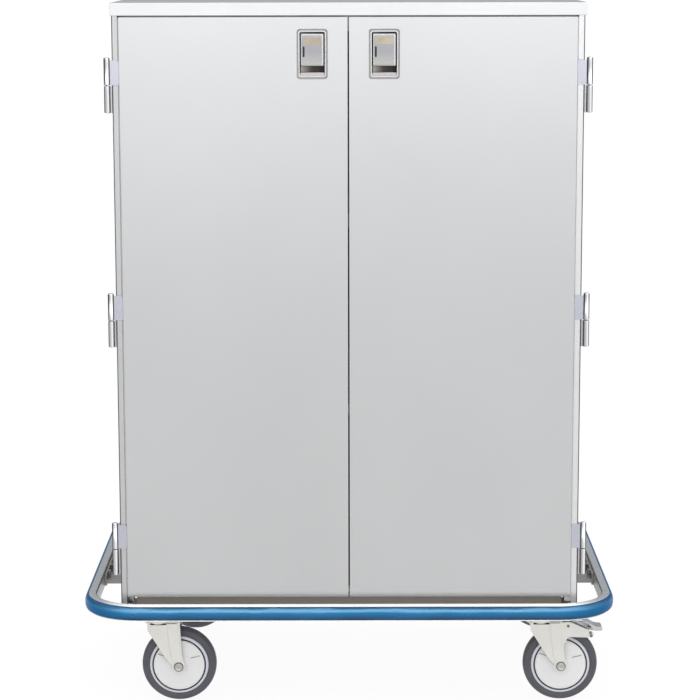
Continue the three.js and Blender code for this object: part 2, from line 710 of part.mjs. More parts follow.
// The tread's corners lie a little outside the rolling radius, so its flats touch the floor.
function wheelTyre() {
  const corner = WHEEL_RADIUS / Math.cos(Math.PI / WHEEL_STEPS);
  const half = [[TYRE_INNER, -14.3], [66, -16.5], [72, -15.5], [corner - 1.2, -11.5], [corner, -7]];
  return turnY(mirroredRing(half), TRAIL, WHEEL_RADIUS, WHEEL_STEPS);
}

// A bent treadle, folded back on itself round a slot, with a hub on the brake's pin.
function brakePedal() {
  const { pivotX, pivotZ, halfWidth, hub } = PEDAL;
  const treadle = outline([
    [pivotX, pivotZ - BRAKE_PIN], [pivotX, pivotZ + BRAKE_PIN], [70, 168.5], [84, 169.5], [93, 167],
    [101, 162.5], [110, 157], [125, 154.6], [127, 151], [126, 147], [113, 146.5], [100, 150],
  ]);
  const slot = outline([[79, 166.2], [86, 166.2], [94, 163], [102, 157.5], [105, 154], [99, 153.5]]);
  const reach = halfWidth + 1;
  const barrel = turnY(rod(hub, -halfWidth, halfWidth), pivotX, pivotZ, SMALL_ROUND_STEPS);
  const bore = turnY(rod(BRAKE_PIN + GAP, -reach, reach), pivotX, pivotZ, SMALL_ROUND_STEPS);
  const bar = prismY(treadle, -halfWidth, halfWidth).subtract(prismY(slot, -reach, reach));
  return join(bar, barrel).subtract(bore);
}

// ---------------------------------------------------------------- assembly

function addShell() {
  for (const { word, sign } of SIDES) {
    addPiece(`${word}_side_panel`, sidePanel(sign), STEEL);
  }
  addPiece('back_panel', backPanel(), STEEL);
  addPiece('floor_pan', floorPan(), STEEL);
  addPiece('top_cap', topCap(), STEEL);
  addPiece('header_rail', headerRail(), STEEL);
  addPiece('base_frame', baseFrame(), STEEL);
  addPiece('lower_shelf', shelf(SHELF_HEIGHTS[0]), STEEL);
  addPiece('upper_shelf', shelf(SHELF_HEIGHTS[1]), STEEL);
}

function addDoors() {
  const levels = ['top', 'middle', 'bottom'];
  for (const { word, sign } of SIDES) {
    addPiece(`${word}_door_outer_skin`, doorSkin(sign), STEEL);
    addPiece(`${word}_door_inner_liner`, doorLiner(sign), STEEL);
    addPiece(`${word}_latch_pan`, latchPan(sign), LATCH_STEEL);
    addPiece(`${word}_latch_paddle`, paddle(sign), LATCH_STEEL);
    addPiece(`${word}_latch_bolt`, latchBolt(sign), LATCH_STEEL);
    HINGE_SPLITS.forEach((split, i) => {
      addPiece(`${word}_${levels[i]}_hinge_frame_leaf`, frameLeaf(sign, split), POLISHED);
      addPiece(`${word}_${levels[i]}_hinge_door_leaf`, doorLeaf(sign, split), POLISHED);
    });
  }
}

function addBumper() {
  for (const { word, end } of [{ word: 'front', end: -1 }, { word: 'rear', end: 1 }]) {
    const stations = ringStations(end, RAIL_JOINT_Y + end * GAP);
    addPiece(`${word}_bumper_channel`, sweep(channelSection(), stations, end < 0), STEEL);
    addPiece(`${word}_bumper_strip`, sweep(stripSection(), stations, end < 0), BLUE_STRIP);
  }
  for (const { word, sign } of SIDES) {
    addPiece(`${word}_bumper_bracket`, sideBracket(sign), STEEL);
  }
}

function addCasters() {
  for (const [end, sy] of [['front', -1], ['rear', 1]]) {
    for (const { word, sign } of SIDES) {
      const braked = sign > 0;
      const name = `${end}_${word}_caster`;
      const place = [sign * KINGPIN_X, sy * KINGPIN_Y];
      addPiece(`${name}_plate`, casterPlate(), CASTER_STEEL, ...place);
      addPiece(`${name}_fork`, casterFork(braked), CASTER_STEEL, ...place);
      addPiece(`${name}_axle`, casterAxle(), CASTER_STEEL, ...place);
      addPiece(`${name}_wheel_core`, wheelCore(), CORE_IVORY, ...place);
      addPiece(`${name}_tyre`, wheelTyre(), TYRE_GREY, ...place);
      if (braked) {
        addPiece(`${name}_brake_pedal`, brakePedal(), CASTER_STEEL, ...place);
      }
    }
  }
}

addShell();
addDoors();
addBumper();
addCasters();

export default cart;
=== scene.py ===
"""Looks for a closed two-door stainless transport cart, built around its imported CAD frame."""

import json
import math

import bmesh
import bpy
from mathutils import Matrix, Vector
from mathutils.geometry import tessellate_polygon


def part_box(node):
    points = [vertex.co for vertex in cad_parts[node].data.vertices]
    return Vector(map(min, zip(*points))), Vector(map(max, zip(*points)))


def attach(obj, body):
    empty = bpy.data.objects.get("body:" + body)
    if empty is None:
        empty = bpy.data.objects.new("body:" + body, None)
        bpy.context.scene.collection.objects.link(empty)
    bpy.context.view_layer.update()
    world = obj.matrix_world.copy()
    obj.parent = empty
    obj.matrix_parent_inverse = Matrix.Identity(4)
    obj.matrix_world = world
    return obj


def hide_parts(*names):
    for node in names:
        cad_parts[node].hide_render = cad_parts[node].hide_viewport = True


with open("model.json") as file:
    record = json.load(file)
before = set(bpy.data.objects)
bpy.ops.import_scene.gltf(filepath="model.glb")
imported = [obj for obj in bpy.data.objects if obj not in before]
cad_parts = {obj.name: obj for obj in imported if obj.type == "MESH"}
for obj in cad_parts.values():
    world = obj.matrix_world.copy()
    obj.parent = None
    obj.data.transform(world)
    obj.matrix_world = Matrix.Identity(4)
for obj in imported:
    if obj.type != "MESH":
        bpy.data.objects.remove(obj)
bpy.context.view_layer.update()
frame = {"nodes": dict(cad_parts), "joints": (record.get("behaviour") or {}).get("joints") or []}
JOINTS = {joint["name"]: joint for joint in frame["joints"]}
MM = 0.001
SIDES = (("left", -1), ("right", 1))
ENDS = (("front", -1), ("rear", 1))


def low(node):
    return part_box(node)[0]


def high(node):
    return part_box(node)[1]


def pivot(joint):
    return Vector(JOINTS[joint]["pos_m"])


# ------------------------------------------------------------------ camera, floor and light

CAMERA_PLACE = (0.00104, -5.01844, 1.52166)
CAMERA_LENS = 123.17
CAMERA_PITCH = math.radians(9.486)
CAMERA_ROLL = math.radians(-0.0958)
CAMERA_YAW = math.radians(0.0167)
FLOOR_REACH = 300


def add_camera():
    forward = Vector((
        math.sin(CAMERA_YAW) * math.cos(CAMERA_PITCH),
        math.cos(CAMERA_YAW) * math.cos(CAMERA_PITCH),
        -math.sin(CAMERA_PITCH),
    ))
    right = Vector((math.cos(CAMERA_YAW), -math.sin(CAMERA_YAW), 0))
    up = right.cross(forward)
    turned_right = right * math.cos(CAMERA_ROLL) + up * math.sin(CAMERA_ROLL)
    turned_up = up * math.cos(CAMERA_ROLL) - right * math.sin(CAMERA_ROLL)
    data = bpy.data.cameras.new("camera")
    data.lens = CAMERA_LENS
    data.sensor_width = 36
    data.clip_start = 0.05
    data.clip_end = 1000
    camera = bpy.data.objects.new("camera", data)
    turn = Matrix((turned_right, turned_up, -forward)).transposed()
    camera.matrix_world = Matrix.Translation(CAMERA_PLACE) @ turn.to_4x4()
    bpy.context.scene.collection.objects.link(camera)
    bpy.context.scene.camera = camera


def add_world():
    """Soft studio light, strongest low in front and overhead, with a lift from behind and from the right."""
    world = bpy.data.worlds.new("studio")
    world.use_nodes = True
    bpy.context.scene.world = world
    tree = world.node_tree
    background = tree.nodes["Background"]
    direction = split_coordinates(tree, "Generated")
    facing = remap(tree, direction["Y"], (-0.80, -0.25), (1.0, 0.0))
    level = remap(tree, direction["Z"], (0.07, 0.32), (2.6, 0.8))
    front = add_math(tree, "MULTIPLY", facing, level)
    behind = remap(tree, direction["Y"], (0.2, 0.9), (0.22, 0.5))
    right = remap(tree, direction["X"], (0.3, 0.95), (0.0, 0.35))
    above = remap(tree, direction["Z"], (0.35, 0.85), (0.0, 1.6))
    total = add_math(tree, "ADD", add_math(tree, "ADD", front, behind), add_math(tree, "ADD", right, above))
    tree.links.new(total, background.inputs["Strength"])
    background.inputs["Color"].default_value = (0.985, 0.995, 1.0, 1)


def split_coordinates(tree, kind):
    """The X, Y and Z of one kind of texture coordinate."""
    coordinates = tree.nodes.new("ShaderNodeTexCoord")
    split = tree.nodes.new("ShaderNodeSeparateXYZ")
    tree.links.new(coordinates.outputs[kind], split.inputs[0])
    return split.outputs


def remap(tree, value, source, target):
    node = tree.nodes.new("ShaderNodeMapRange")
    node.interpolation_type = "SMOOTHSTEP"
    tree.links.new(value, node.inputs["Value"])
    node.inputs["From Min"].default_value, node.inputs["From Max"].default_value = source
    node.inputs["To Min"].default_value, node.inputs["To Max"].default_value = target
    return node.outputs["Result"]


def add_math(tree, operation, *values):
    node = tree.nodes.new("ShaderNodeMath")
    node.operation = operation
    for socket, value in zip(node.inputs, values):
        if isinstance(value, (int, float)):
            socket.default_value = value
        else:
            tree.links.new(value, socket)
    return node.outputs[0]


def add_floor():
    mesh = bpy.data.meshes.new("floor")
    corners = [(x * FLOOR_REACH, y * FLOOR_REACH, 0) for x, y in ((-1, -1), (1, -1), (1, 1), (-1, 1))]
    mesh.from_pydata(corners, [], [(0, 1, 2, 3)])
    floor = bpy.data.objects.new("floor", mesh)
    bpy.context.scene.collection.objects.link(floor)
    _, shader = new_material("floor_white")
    shader.inputs["Base Color"].default_value = (0.06, 0.06, 0.06, 1)
    shader.inputs["Roughness"].default_value = 0.8
    shader.inputs["Specular IOR Level"].default_value = 0.0
    shader.inputs["Emission Color"].default_value = (1, 1, 1, 1)
    shader.inputs["Emission Strength"].default_value = 0.935
    mesh.materials.append(MATERIALS["floor_white"])


# ------------------------------------------------------------------ materials

STEEL_TINT = (0.515, 0.517, 0.522)
FINE = 1400
LONG = 16
MOTTLE = 0.03
ALONG_X = (LONG, FINE, FINE)
ALONG_Y = (FINE, LONG, FINE)
ALONG_Z = (FINE, FINE, LONG)
MATERIALS = {}

def new_material(name):
    """An empty material, kept in MATERIALS by its name; gives its node tree and shader."""
    finish = bpy.data.materials.new(name)
    finish.use_nodes = True
    MATERIALS[name] = finish
    return finish.node_tree, finish.node_tree.nodes["Principled BSDF"]


def noise(tree, stretch, detail=3.0, roughness=0.55):
    """A noise value in the row frame, stretched by the three scales given per metre."""
    coordinates = tree.nodes.new("ShaderNodeTexCoord")
    mapping = tree.nodes.new("ShaderNodeMapping")
    texture = tree.nodes.new("ShaderNodeTexNoise")
    mapping.inputs["Scale"].default_value = stretch
    texture.inputs["Scale"].default_value = 1.0
    texture.inputs["Detail"].default_value = detail
    texture.inputs["Roughness"].default_value = roughness
    tree.links.new(coordinates.outputs["Object"], mapping.inputs["Vector"])
    tree.links.new(mapping.outputs["Vector"], texture.inputs["Vector"])
    return texture.outputs["Fac"]


def blend_value(tree, factor, low_value, high_value, edges=(0.3, 0.7)):
    node = tree.nodes.new("ShaderNodeMapRange")
    tree.links.new(factor, node.inputs["Value"])
    node.inputs["From Min"].default_value, node.inputs["From Max"].default_value = edges
    node.inputs["To Min"].default_value = low_value
    node.inputs["To Max"].default_value = high_value
    return node.outputs["Result"]


def blend_colour(tree, factor, first, second):
    node = tree.nodes.new("ShaderNodeMix")
    node.data_type = "RGBA"
    tree.links.new(factor, node.inputs["Factor"])
    for socket, value in ((node.inputs["A"], first), (node.inputs["B"], second)):
        if isinstance(value, tuple):
            socket.default_value = (*value, 1)
        else:
            tree.links.new(value, socket)
    return node.outputs["Result"]


def ramp_colour(tree, value, stops):
    """A colour that follows stops of (position, colour) while the value goes from 0 to 1."""
    ramp = tree.nodes.new("ShaderNodeValToRGB")
    tree.links.new(value, ramp.inputs["Fac"])
    elements = ramp.color_ramp.elements
    while len(elements) < len(stops):
        elements.new(0.5)
    for element, (position, colour) in zip(elements, stops):
        element.position = position
        element.color = (*colour, 1)
    return ramp.outputs["Color"]


def shade(colour, factor):
    return tuple(channel * factor for channel in colour)


def add_bump(tree, shader, height, distance):
    bump = tree.nodes.new("ShaderNodeBump")
    bump.inputs["Distance"].default_value = distance
    bump.inputs["Strength"].default_value = 1.0
    tree.links.new(height, bump.inputs["Height"])
    tree.links.new(bump.outputs["Normal"], shader.inputs["Normal"])


def brushed_metal(
    name, colour, roughness, stretch, spread=0.05, grain_depth=0.00003, stroke=0.88, metallic=1.0
):
    """Metal with fine strokes along the least stretched axis, soft cloudy variation and faint smears."""
    tree, shader = new_material(name)
    shader.inputs["Metallic"].default_value = metallic
    strokes = noise(tree, stretch, 4.0)
    clouds = noise(tree, (2.3, 2.3, 1.7), 2.0)
    smears = noise(tree, (26, 26, 9), 5.0, 0.65)
    darker, lighter = shade(colour, 1 - MOTTLE), shade(colour, 1 + MOTTLE)
    cloudy = blend_colour(tree, blend_value(tree, clouds, 0, 1), darker, lighter)
    stroked = blend_colour(tree, blend_value(tree, strokes, 0.0, 0.22), cloudy, shade(colour, stroke))
    tree.links.new(stroked, shader.inputs["Base Color"])
    rough = blend_value(tree, strokes, roughness - spread, roughness + spread)
    worn = add_math(tree, "ADD", rough, blend_value(tree, smears, -0.25 * spread, 0.3 * spread, (0.35, 0.65)))
    tree.links.new(worn, shader.inputs["Roughness"])
    add_bump(tree, shader, strokes, grain_depth)


def painted(name, colour, roughness, grain, dent=0.00002, coat=0.0, metallic=0.0, variation=0.05):
    """Plastic or paint with a fine surface texture and cloudy colour."""
    tree, shader = new_material(name)
    fine = noise(tree, (grain, grain, grain), 3.0)
    clouds = noise(tree, (30, 30, 30), 3.0)
    darker, lighter = shade(colour, 1 - variation), shade(colour, 1 + variation)
    tinted = blend_colour(tree, blend_value(tree, clouds, 0, 1), darker, lighter)
    tree.links.new(tinted, shader.inputs["Base Color"])
    tree.links.new(blend_value(tree, fine, roughness - 0.06, roughness + 0.06), shader.inputs["Roughness"])
    shader.inputs["Metallic"].default_value = metallic
    shader.inputs["Coat Weight"].default_value = coat
    shader.inputs["Coat Roughness"].default_value = 0.12
    add_bump(tree, shader, fine, dent)


def painted_light_vinyl(name, roughness):
    """Glossy blue vinyl with painted light: a painted highlight on its upper half, painted shade along its
    lower edge and its top edge, and a deeper painted shade of blue round the ring's corners.
    """
    tree, shader = new_material(name)
    bottom, top = low("front_bumper_strip").z, high("front_bumper_strip").z
    position = split_coordinates(tree, "Object")
    height = blend_value(tree, position["Z"], 0.0, 1.0, (bottom, top))
    clouds = noise(tree, (14, 14, 60), 3.0)
    waver = add_math(tree, "ADD", height, blend_value(tree, clouds, -0.06, 0.06))
    # painted light: the colour runs from painted shade at the bottom edge up to a painted highlight high on
    # the strip, and back to painted shade at the top edge
    banded = ramp_colour(tree, waver, (
        (0.0, (0.010, 0.020, 0.036)), (0.13, (0.022, 0.070, 0.140)), (0.42, (0.026, 0.125, 0.270)),
        (0.60, (0.022, 0.160, 0.335)), (0.82, (0.150, 0.335, 0.520)), (0.97, (0.02, 0.08, 0.15)),
    ))
    # painted shade: a deeper blue is mixed in round the corners of the ring
    across = add_math(tree, "ABSOLUTE", position["X"])
    reach = high("front_bumper_strip").x
    bend = blend_value(tree, across, 0.0, 0.75, (reach - 0.11, reach - 0.02))
    corner_painted_shade = blend_colour(tree, bend, banded, (0.001, 0.100, 0.255))
    tree.links.new(corner_painted_shade, shader.inputs["Base Color"])
    fine = noise(tree, (900, 900, 900), 3.0)
    tree.links.new(blend_value(tree, clouds, roughness - 0.04, roughness + 0.04), shader.inputs["Roughness"])
    shader.inputs["Metallic"].default_value = 0.45
    shader.inputs["Specular IOR Level"].default_value = 0.2
    shader.inputs["Specular Tint"].default_value = (0.25, 0.45, 0.7, 1)
    shader.inputs["Coat Weight"].default_value = 0.03
    shader.inputs["Coat Roughness"].default_value = 0.15
    add_bump(tree, shader, fine, 0.000002)


def rail_metal_painted_light(name):
    """Rolled steel channel with painted light: satin white as a painted highlight along the straight runs
    that face the ends, greyer down the sides as painted shade.
    """
    tree, shader = new_material(name)
    across = add_math(tree, "ABSOLUTE", split_coordinates(tree, "Object")["X"])
    reach = high("front_bumper_channel").x
    side = blend_value(tree, across, 0.0, 1.0, (reach - 0.10, reach - 0.03))
    grain = noise(tree, (700, 700, 700), 4.0)
    # painted light: white on the end runs as a painted highlight, grey as painted shade down the sides
    colour = blend_colour(tree, side, (0.985, 0.985, 0.98), (0.47, 0.485, 0.51))
    streaked = blend_colour(tree, blend_value(tree, grain, 0.0, 0.07), colour, (0.35, 0.35, 0.35))
    tree.links.new(streaked, shader.inputs["Base Color"])
    tree.links.new(blend_value(tree, side, 0.15, 0.85, (0, 1)), shader.inputs["Metallic"])
    tree.links.new(blend_value(tree, grain, 0.24, 0.34), shader.inputs["Roughness"])
    add_bump(tree, shader, grain, 0.00001)


def barrel_metal_painted_light(name):
    """Turned hinge steel with painted light: a bright painted highlight just right of the middle and painted
    shade down both sides, set by the object-space normal.
    """
    tree, shader = new_material(name)
    shader.inputs["Metallic"].default_value = 1.0
    shader.inputs["Specular Tint"].default_value = (0.12, 0.12, 0.13, 1)
    # painted light: the ramp paints shade on both sides of the barrel and a highlight just right of its
    # middle
    from_left = add_math(tree, "MULTIPLY_ADD", split_coordinates(tree, "Normal")["X"], 0.5, 0.5)
    tones = (
        (0.0, 0.20), (0.12, 0.12), (0.25, 0.42), (0.50, 0.62),
        (0.62, 0.92), (0.78, 0.92), (0.88, 0.18), (1.0, 0.22),
    )
    painted_light_tones = ramp_colour(tree, from_left, [(at, (tone, tone * 0.99, tone * 1.02)) for at, tone in tones])
    strokes = noise(tree, ALONG_Z, 4.0)
    stroked = blend_colour(tree, blend_value(tree, strokes, 0.0, 0.18), painted_light_tones, (0.30, 0.29, 0.29))
    tree.links.new(stroked, shader.inputs["Base Color"])
    tree.links.new(blend_value(tree, strokes, 0.14, 0.22), shader.inputs["Roughness"])
    add_bump(tree, shader, strokes, 0.00001)


def cap_metal_painted_shade(name):
    """Brushed cap sheet: bright on its rim, with painted shade on its flat top, which is also rougher."""
    brushed_metal(name, shade(STEEL_TINT, 1.16), 0.34, ALONG_X)
    tree = MATERIALS[name].node_tree
    shader = tree.nodes["Principled BSDF"]
    # painted shade: surfaces facing up are given a darker colour
    top_painted_shade = blend_value(tree, split_coordinates(tree, "Normal")["Z"], 0.0, 1.0, (0.6, 0.95))
    colour = shader.inputs["Base Color"].links[0].from_socket
    tree.links.new(blend_colour(tree, top_painted_shade, colour, shade(STEEL_TINT, 0.62)), shader.inputs["Base Color"])
    rough = shader.inputs["Roughness"].links[0].from_socket
    raised = add_math(tree, "MULTIPLY", top_painted_shade, 0.12)
    tree.links.new(add_math(tree, "ADD", rough, raised), shader.inputs["Roughness"])


def graded_metal(name, axis, stops, roughness):
    """Brushed metal whose tone runs from one side of its own piece to the other."""
    tree, shader = new_material(name)
    shader.inputs["Metallic"].default_value = 1.0
    graded = ramp_colour(tree, split_coordinates(tree, "Generated")[axis], stops)
    strokes = noise(tree, ALONG_Z, 4.0)
    brushed = blend_colour(tree, blend_value(tree, strokes, 0.0, 0.14), graded, (0.2, 0.2, 0.2))
    tree.links.new(brushed, shader.inputs["Base Color"])
    tree.links.new(blend_value(tree, strokes, roughness - 0.04, roughness + 0.04), shader.inputs["Roughness"])
    add_bump(tree, shader, strokes, 0.00001)


brushed_metal("front_steel", STEEL_TINT, 0.26, ALONG_X, 0.010, 0.0000025, stroke=0.988)
cap_metal_painted_shade("cap_steel")
# painted light: the left side panel and its weld spots take a darker copy of the steel as painted shade, the
# right a lighter copy as a painted highlight
brushed_metal("left_side_painted_light_steel", shade(STEEL_TINT, 0.9), 0.30, ALONG_Y, metallic=0.85)
brushed_metal("right_side_painted_light_steel", shade(STEEL_TINT, 1.2), 0.30, ALONG_Y, metallic=0.85)
# painted shade: the header rail, seen in the gap under the cap, is given a darker steel
brushed_metal("header_painted_shade_steel", shade(STEEL_TINT, 0.5), 0.34, ALONG_X)
brushed_metal("inner_steel", shade(STEEL_TINT, 1.4), 0.4, ALONG_X, metallic=0.45)
brushed_metal("back_steel", shade(STEEL_TINT, 1.1), 0.34, ALONG_X, 0.02, metallic=0.6)
# painted shade: a dark brown steel for the base frame, recessed under the doors
brushed_metal("base_painted_shade_steel", (0.21, 0.19, 0.17), 0.36, (LONG, 300, 300))
brushed_metal("bracket_steel", (0.27, 0.26, 0.25), 0.30, (300, LONG, 300))
rail_metal_painted_light("rail_steel")
barrel_metal_painted_light("hinge_steel")
# dark steel: the own colour of the brake rivets and washers, and painted shade on the side panels' rounded
# edges and the rail's inner top bend
brushed_metal("edge_steel", (0.16, 0.16, 0.16), 0.34, ALONG_Z, 0.03)
# painted highlight: a brighter steel for the bezel crest and the paddle border
brushed_metal("painted_highlight_steel", (0.54, 0.54, 0.545), 0.2, (FINE, FINE, FINE), 0.03)
brushed_metal("leaf_steel", (0.44, 0.44, 0.45), 0.27, ALONG_Z, 0.03)
brushed_metal("strap_steel", (0.46, 0.47, 0.53), 0.27, ALONG_Z, 0.03)
brushed_metal("bezel_steel", (0.27, 0.27, 0.275), 0.22, (600, 600, 600), 0.03)
# painted shade: the latch well's lining runs from grey at its left side to near black at its right
graded_metal("lining_painted_shade_steel", "X", (
    (0.0, (0.30, 0.29, 0.27)), (0.18, (0.17, 0.16, 0.145)), (0.45, (0.04, 0.036, 0.034)),
    (1.0, (0.008, 0.007, 0.008)),
), 0.34)
graded_metal("paddle_steel", "Z", (
    (0.0, (0.43, 0.42, 0.395)), (0.2, (0.36, 0.358, 0.355)), (0.45, (0.30, 0.302, 0.318)),
    (0.8, (0.305, 0.305, 0.315)), (1.0, (0.35, 0.35, 0.355)),
), 0.30)
# painted shade: a near black steel for the latch pan's inner slope and well
brushed_metal("recess_painted_shade_steel", (0.04, 0.036, 0.033), 0.34, ALONG_Z, 0.05)
brushed_metal("pedal_steel", (0.50, 0.51, 0.53), 0.24, (300, LONG, 300), 0.05)
brushed_metal("bolt_steel", (0.45, 0.44, 0.42), 0.28, (400, 400, 400), 0.05)
painted("caster_paint", (0.60, 0.585, 0.555), 0.36, 900, coat=0.2, metallic=0.25, variation=0.03)
painted("disc_white", (0.60, 0.60, 0.595), 0.42, 700, variation=0.02)
painted("disc_mark", (0.16, 0.16, 0.16), 0.5, 700)
painted("rim_grey", (0.50, 0.51, 0.56), 0.38, 800, variation=0.03)
painted("seal_black", (0.008, 0.008, 0.009), 0.5, 900)
painted("tyre_rubber", (0.056, 0.055, 0.068), 0.55, 600, 0.00004, variation=0.10)
painted_light_vinyl("bumper_blue", 0.26)
painted("label_tan", (0.40, 0.345, 0.265), 0.40, 260, metallic=0.8, variation=0.16)
painted("ledge_steel", (0.36, 0.33, 0.34), 0.30, 500, metallic=0.7, variation=0.04)
# painted shade: the dark strip along each side panel's front corner
brushed_metal("hem_painted_shade", (0.11, 0.10, 0.11), 0.34, ALONG_Z, 0.04)
# painted highlight: a pale strip in the seam at each door's hinge edge
painted("seam_painted_highlight", (0.55, 0.55, 0.55), 0.45, 600, variation=0.06)
# painted shade: flat black filling the paddle slot and on the hinge pin in the knuckle gap
painted("painted_shade_black", (0.006, 0.006, 0.006), 0.6, 500)
painted("rubber_black", (0.02, 0.02, 0.021), 0.6, 500)

# ------------------------------------------------------------------ mesh helpers


def box(x0, x1, y0, y1, z0, z1):
    xs, ys, zs = sorted((x0, x1)), sorted((y0, y1)), sorted((z0, z1))
    points = [(x, y, z) for x in xs for y in ys for z in zs]
    return points, [(0, 1, 3, 2), (4, 6, 7, 5), (0, 4, 5, 1), (2, 3, 7, 6), (0, 2, 6, 4), (1, 5, 7, 3)]


def rings(loops, cap_start=True, closed=False):
    """A skin over loops of points that all have the same count."""
    count = len(loops[0])
    points = [point for loop in loops for point in loop]
    faces = []
    pairs = len(loops) if closed else len(loops) - 1
    for i in range(pairs):
        a, b = i * count, ((i + 1) % len(loops)) * count
        for k in range(count):
            n = (k + 1) % count
            faces.append((a + k, a + n, b + n, b + k))
    if cap_start and not closed:
        faces.append(tuple(range(count)))
    if not closed:
        faces.append(tuple(range(len(points) - count, len(points))))
    return points, faces


def turned(profile, centre, axis, steps=48, closed=False):
    """A profile of (radius, offset) turned about an axis; a radius of zero closes the end."""
    cx, cy, cz = centre
    loops = []
    for radius, offset in profile:
        loop = []
        for i in range(steps):
            angle = 2 * math.pi * i / steps
            across, along = radius * math.cos(angle), radius * math.sin(angle)
            if axis == "y":
                loop.append((cx + across, cy + offset, cz + along))
            elif axis == "z":
                loop.append((cx + across, cy + along, cz + offset))
            else:
                loop.append((cx + offset, cy + across, cz + along))
        loops.append(loop)
    return rings(loops, closed=closed)


def place(plane, a, b, depth):
    return {"xz": (a, depth, b), "yz": (depth, a, b), "xy": (a, b, depth)}[plane]


def extruded(outline, plane, start, end, holes=()):
    """An outline, with any holes, drawn in a plane and drawn out square to it."""
    outlines = [outline, *holes]
    flat = [point for loop in outlines for point in loop]
    total = len(flat)
    points = [place(plane, a, b, start) for a, b in flat] + [place(plane, a, b, end) for a, b in flat]
    if holes:
        caps = tessellate_polygon([[Vector((a, b, 0)) for a, b in loop] for loop in outlines])
    else:
        caps = [tuple(range(total))]
    faces = [tuple(face) for face in caps] + [tuple(i + total for i in reversed(face)) for face in caps]
    base = 0
    for loop in outlines:
        for k in range(len(loop)):
            n = (k + 1) % len(loop)
            faces.append((base + k, base + n, base + n + total, base + k + total))
        base += len(loop)
    return points, faces


def arc(cx, cz, radius, start, end, steps=10):
    angles = [start + (end - start) * i / steps for i in range(steps + 1)]
    return [(cx + radius * math.cos(angle), cz + radius * math.sin(angle)) for angle in angles]


def rounded(cx, cz, width, height, radius, steps=6):
    """A rectangle with rounded corners, about its middle."""
    half_w, half_h = width / 2 - radius, height / 2 - radius
    quarter = math.pi / 2
    loop = []
    for i, (sx, sz) in enumerate(((1, 1), (-1, 1), (-1, -1), (1, -1))):
        loop += arc(cx + sx * half_w, cz + sz * half_h, radius, quarter * i, quarter * (i + 1), steps)
    return loop


def swept(section, stations):
    """A section of (outward, height) carried along stations of (x, y, outward x, outward y)."""
    loops = [[(x + nx * out, y + ny * out, z) for out, z in section] for x, y, nx, ny in stations]
    return rings(loops)


def make(name, parts, finish, body, bevel=0.0, smooth=35):
    """One visible piece of parts of (points, faces), riding on a body, with its finish."""
    points, faces = [], []
    for part_points, part_faces in parts:
        base = len(points)
        points += part_points
        faces += [tuple(i + base for i in face) for face in part_faces]
    mesh = bpy.data.meshes.new(name)
    mesh.from_pydata(points, [], faces)
    work = bmesh.new()
    work.from_mesh(mesh)
    collapsed = [edge for edge in work.edges if edge.calc_length() < 1e-7]
    bmesh.ops.remove_doubles(work, verts=list({v for edge in collapsed for v in edge.verts}), dist=1e-7)
    bmesh.ops.recalc_face_normals(work, faces=work.faces)
    work.to_mesh(mesh)
    work.free()
    mesh.materials.append(MATERIALS[finish])
    mesh.shade_smooth()
    mesh.set_sharp_from_angle(angle=math.radians(smooth))
    piece = bpy.data.objects.new(name, mesh)
    bpy.context.scene.collection.objects.link(piece)
    if bevel:
        round_edges(piece, bevel)
    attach(piece, body)
    return piece


def round_edges(piece, width):
    bevel = piece.modifiers.new("rounding", "BEVEL")
    bevel.width = width
    bevel.segments = 2
    bevel.limit_method = "ANGLE"
    bevel.angle_limit = math.radians(35)
    weights = piece.modifiers.new("shading", "WEIGHTED_NORMAL")
    weights.mode = "FACE_AREA"
    weights.weight = 100
    weights.keep_sharp = False


# ------------------------------------------------------------------ carried-over CAD nodes


def smooth_shading_group():
    """Joins split corners and turns on smooth shading, without touching the stored mesh."""
    group = bpy.data.node_groups.new("joined_and_smooth", "GeometryNodeTree")
    group.interface.new_socket("Geometry", in_out="INPUT", socket_type="NodeSocketGeometry")
    group.interface.new_socket("Geometry", in_out="OUTPUT", socket_type="NodeSocketGeometry")
    start = group.nodes.new("NodeGroupInput")
    end = group.nodes.new("NodeGroupOutput")
    merge = group.nodes.new("GeometryNodeMergeByDistance")
    smooth = group.nodes.new("GeometryNodeSetShadeSmooth")
    merge.inputs["Distance"].default_value = 1e-5
    group.links.new(start.outputs[0], merge.inputs["Geometry"])
    group.links.new(merge.outputs[0], smooth.inputs["Geometry"])
    group.links.new(smooth.outputs[0], end.inputs[0])
    return group


JOINED = smooth_shading_group()


def finish_node(node, finish, bevel=0.0004, edge=None, flatten=True):
    """Gives a CAD node its finish and rounds its edges, joining coplanar faces first if flatten is set."""
    piece = frame["nodes"][node]
    piece.data.materials.clear()
    piece.data.materials.append(MATERIALS[finish])
    if edge:
        piece.data.materials.append(MATERIALS[edge])
    joined = piece.modifiers.new("joined", "NODES")
    joined.node_group = JOINED
    if flatten:
        flattened = piece.modifiers.new("flattened", "DECIMATE")
        flattened.decimate_type = "DISSOLVE"
        flattened.angle_limit = math.radians(0.5)
    round_edges(piece, bevel)
    if edge:
        piece.modifiers["rounding"].material = 1


def add_door_seal(word, sign):
    """A pale strip folded into the seam between a door's hinge edge and its side panel, as a painted
    highlight along that edge.
    """
    skin_low, skin_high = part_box(f"{word}_door_outer_skin")
    edge = skin_low.x if sign < 0 else skin_high.x
    front = skin_low.y + 0.0032
    outline = [
        (edge + sign * 0.0005, front + 0.0006), (edge + sign * 0.0009, front), (edge + sign * 0.0019, front),
        (edge + sign * 0.0019, front + 0.005), (edge + sign * 0.0005, front + 0.005),
    ]
    strip = extruded(outline, "xy", skin_low.z + 0.001, skin_high.z - 0.001)
    make(f"{word}_door_seam_strip", [strip], "seam_painted_highlight", "cabinet")


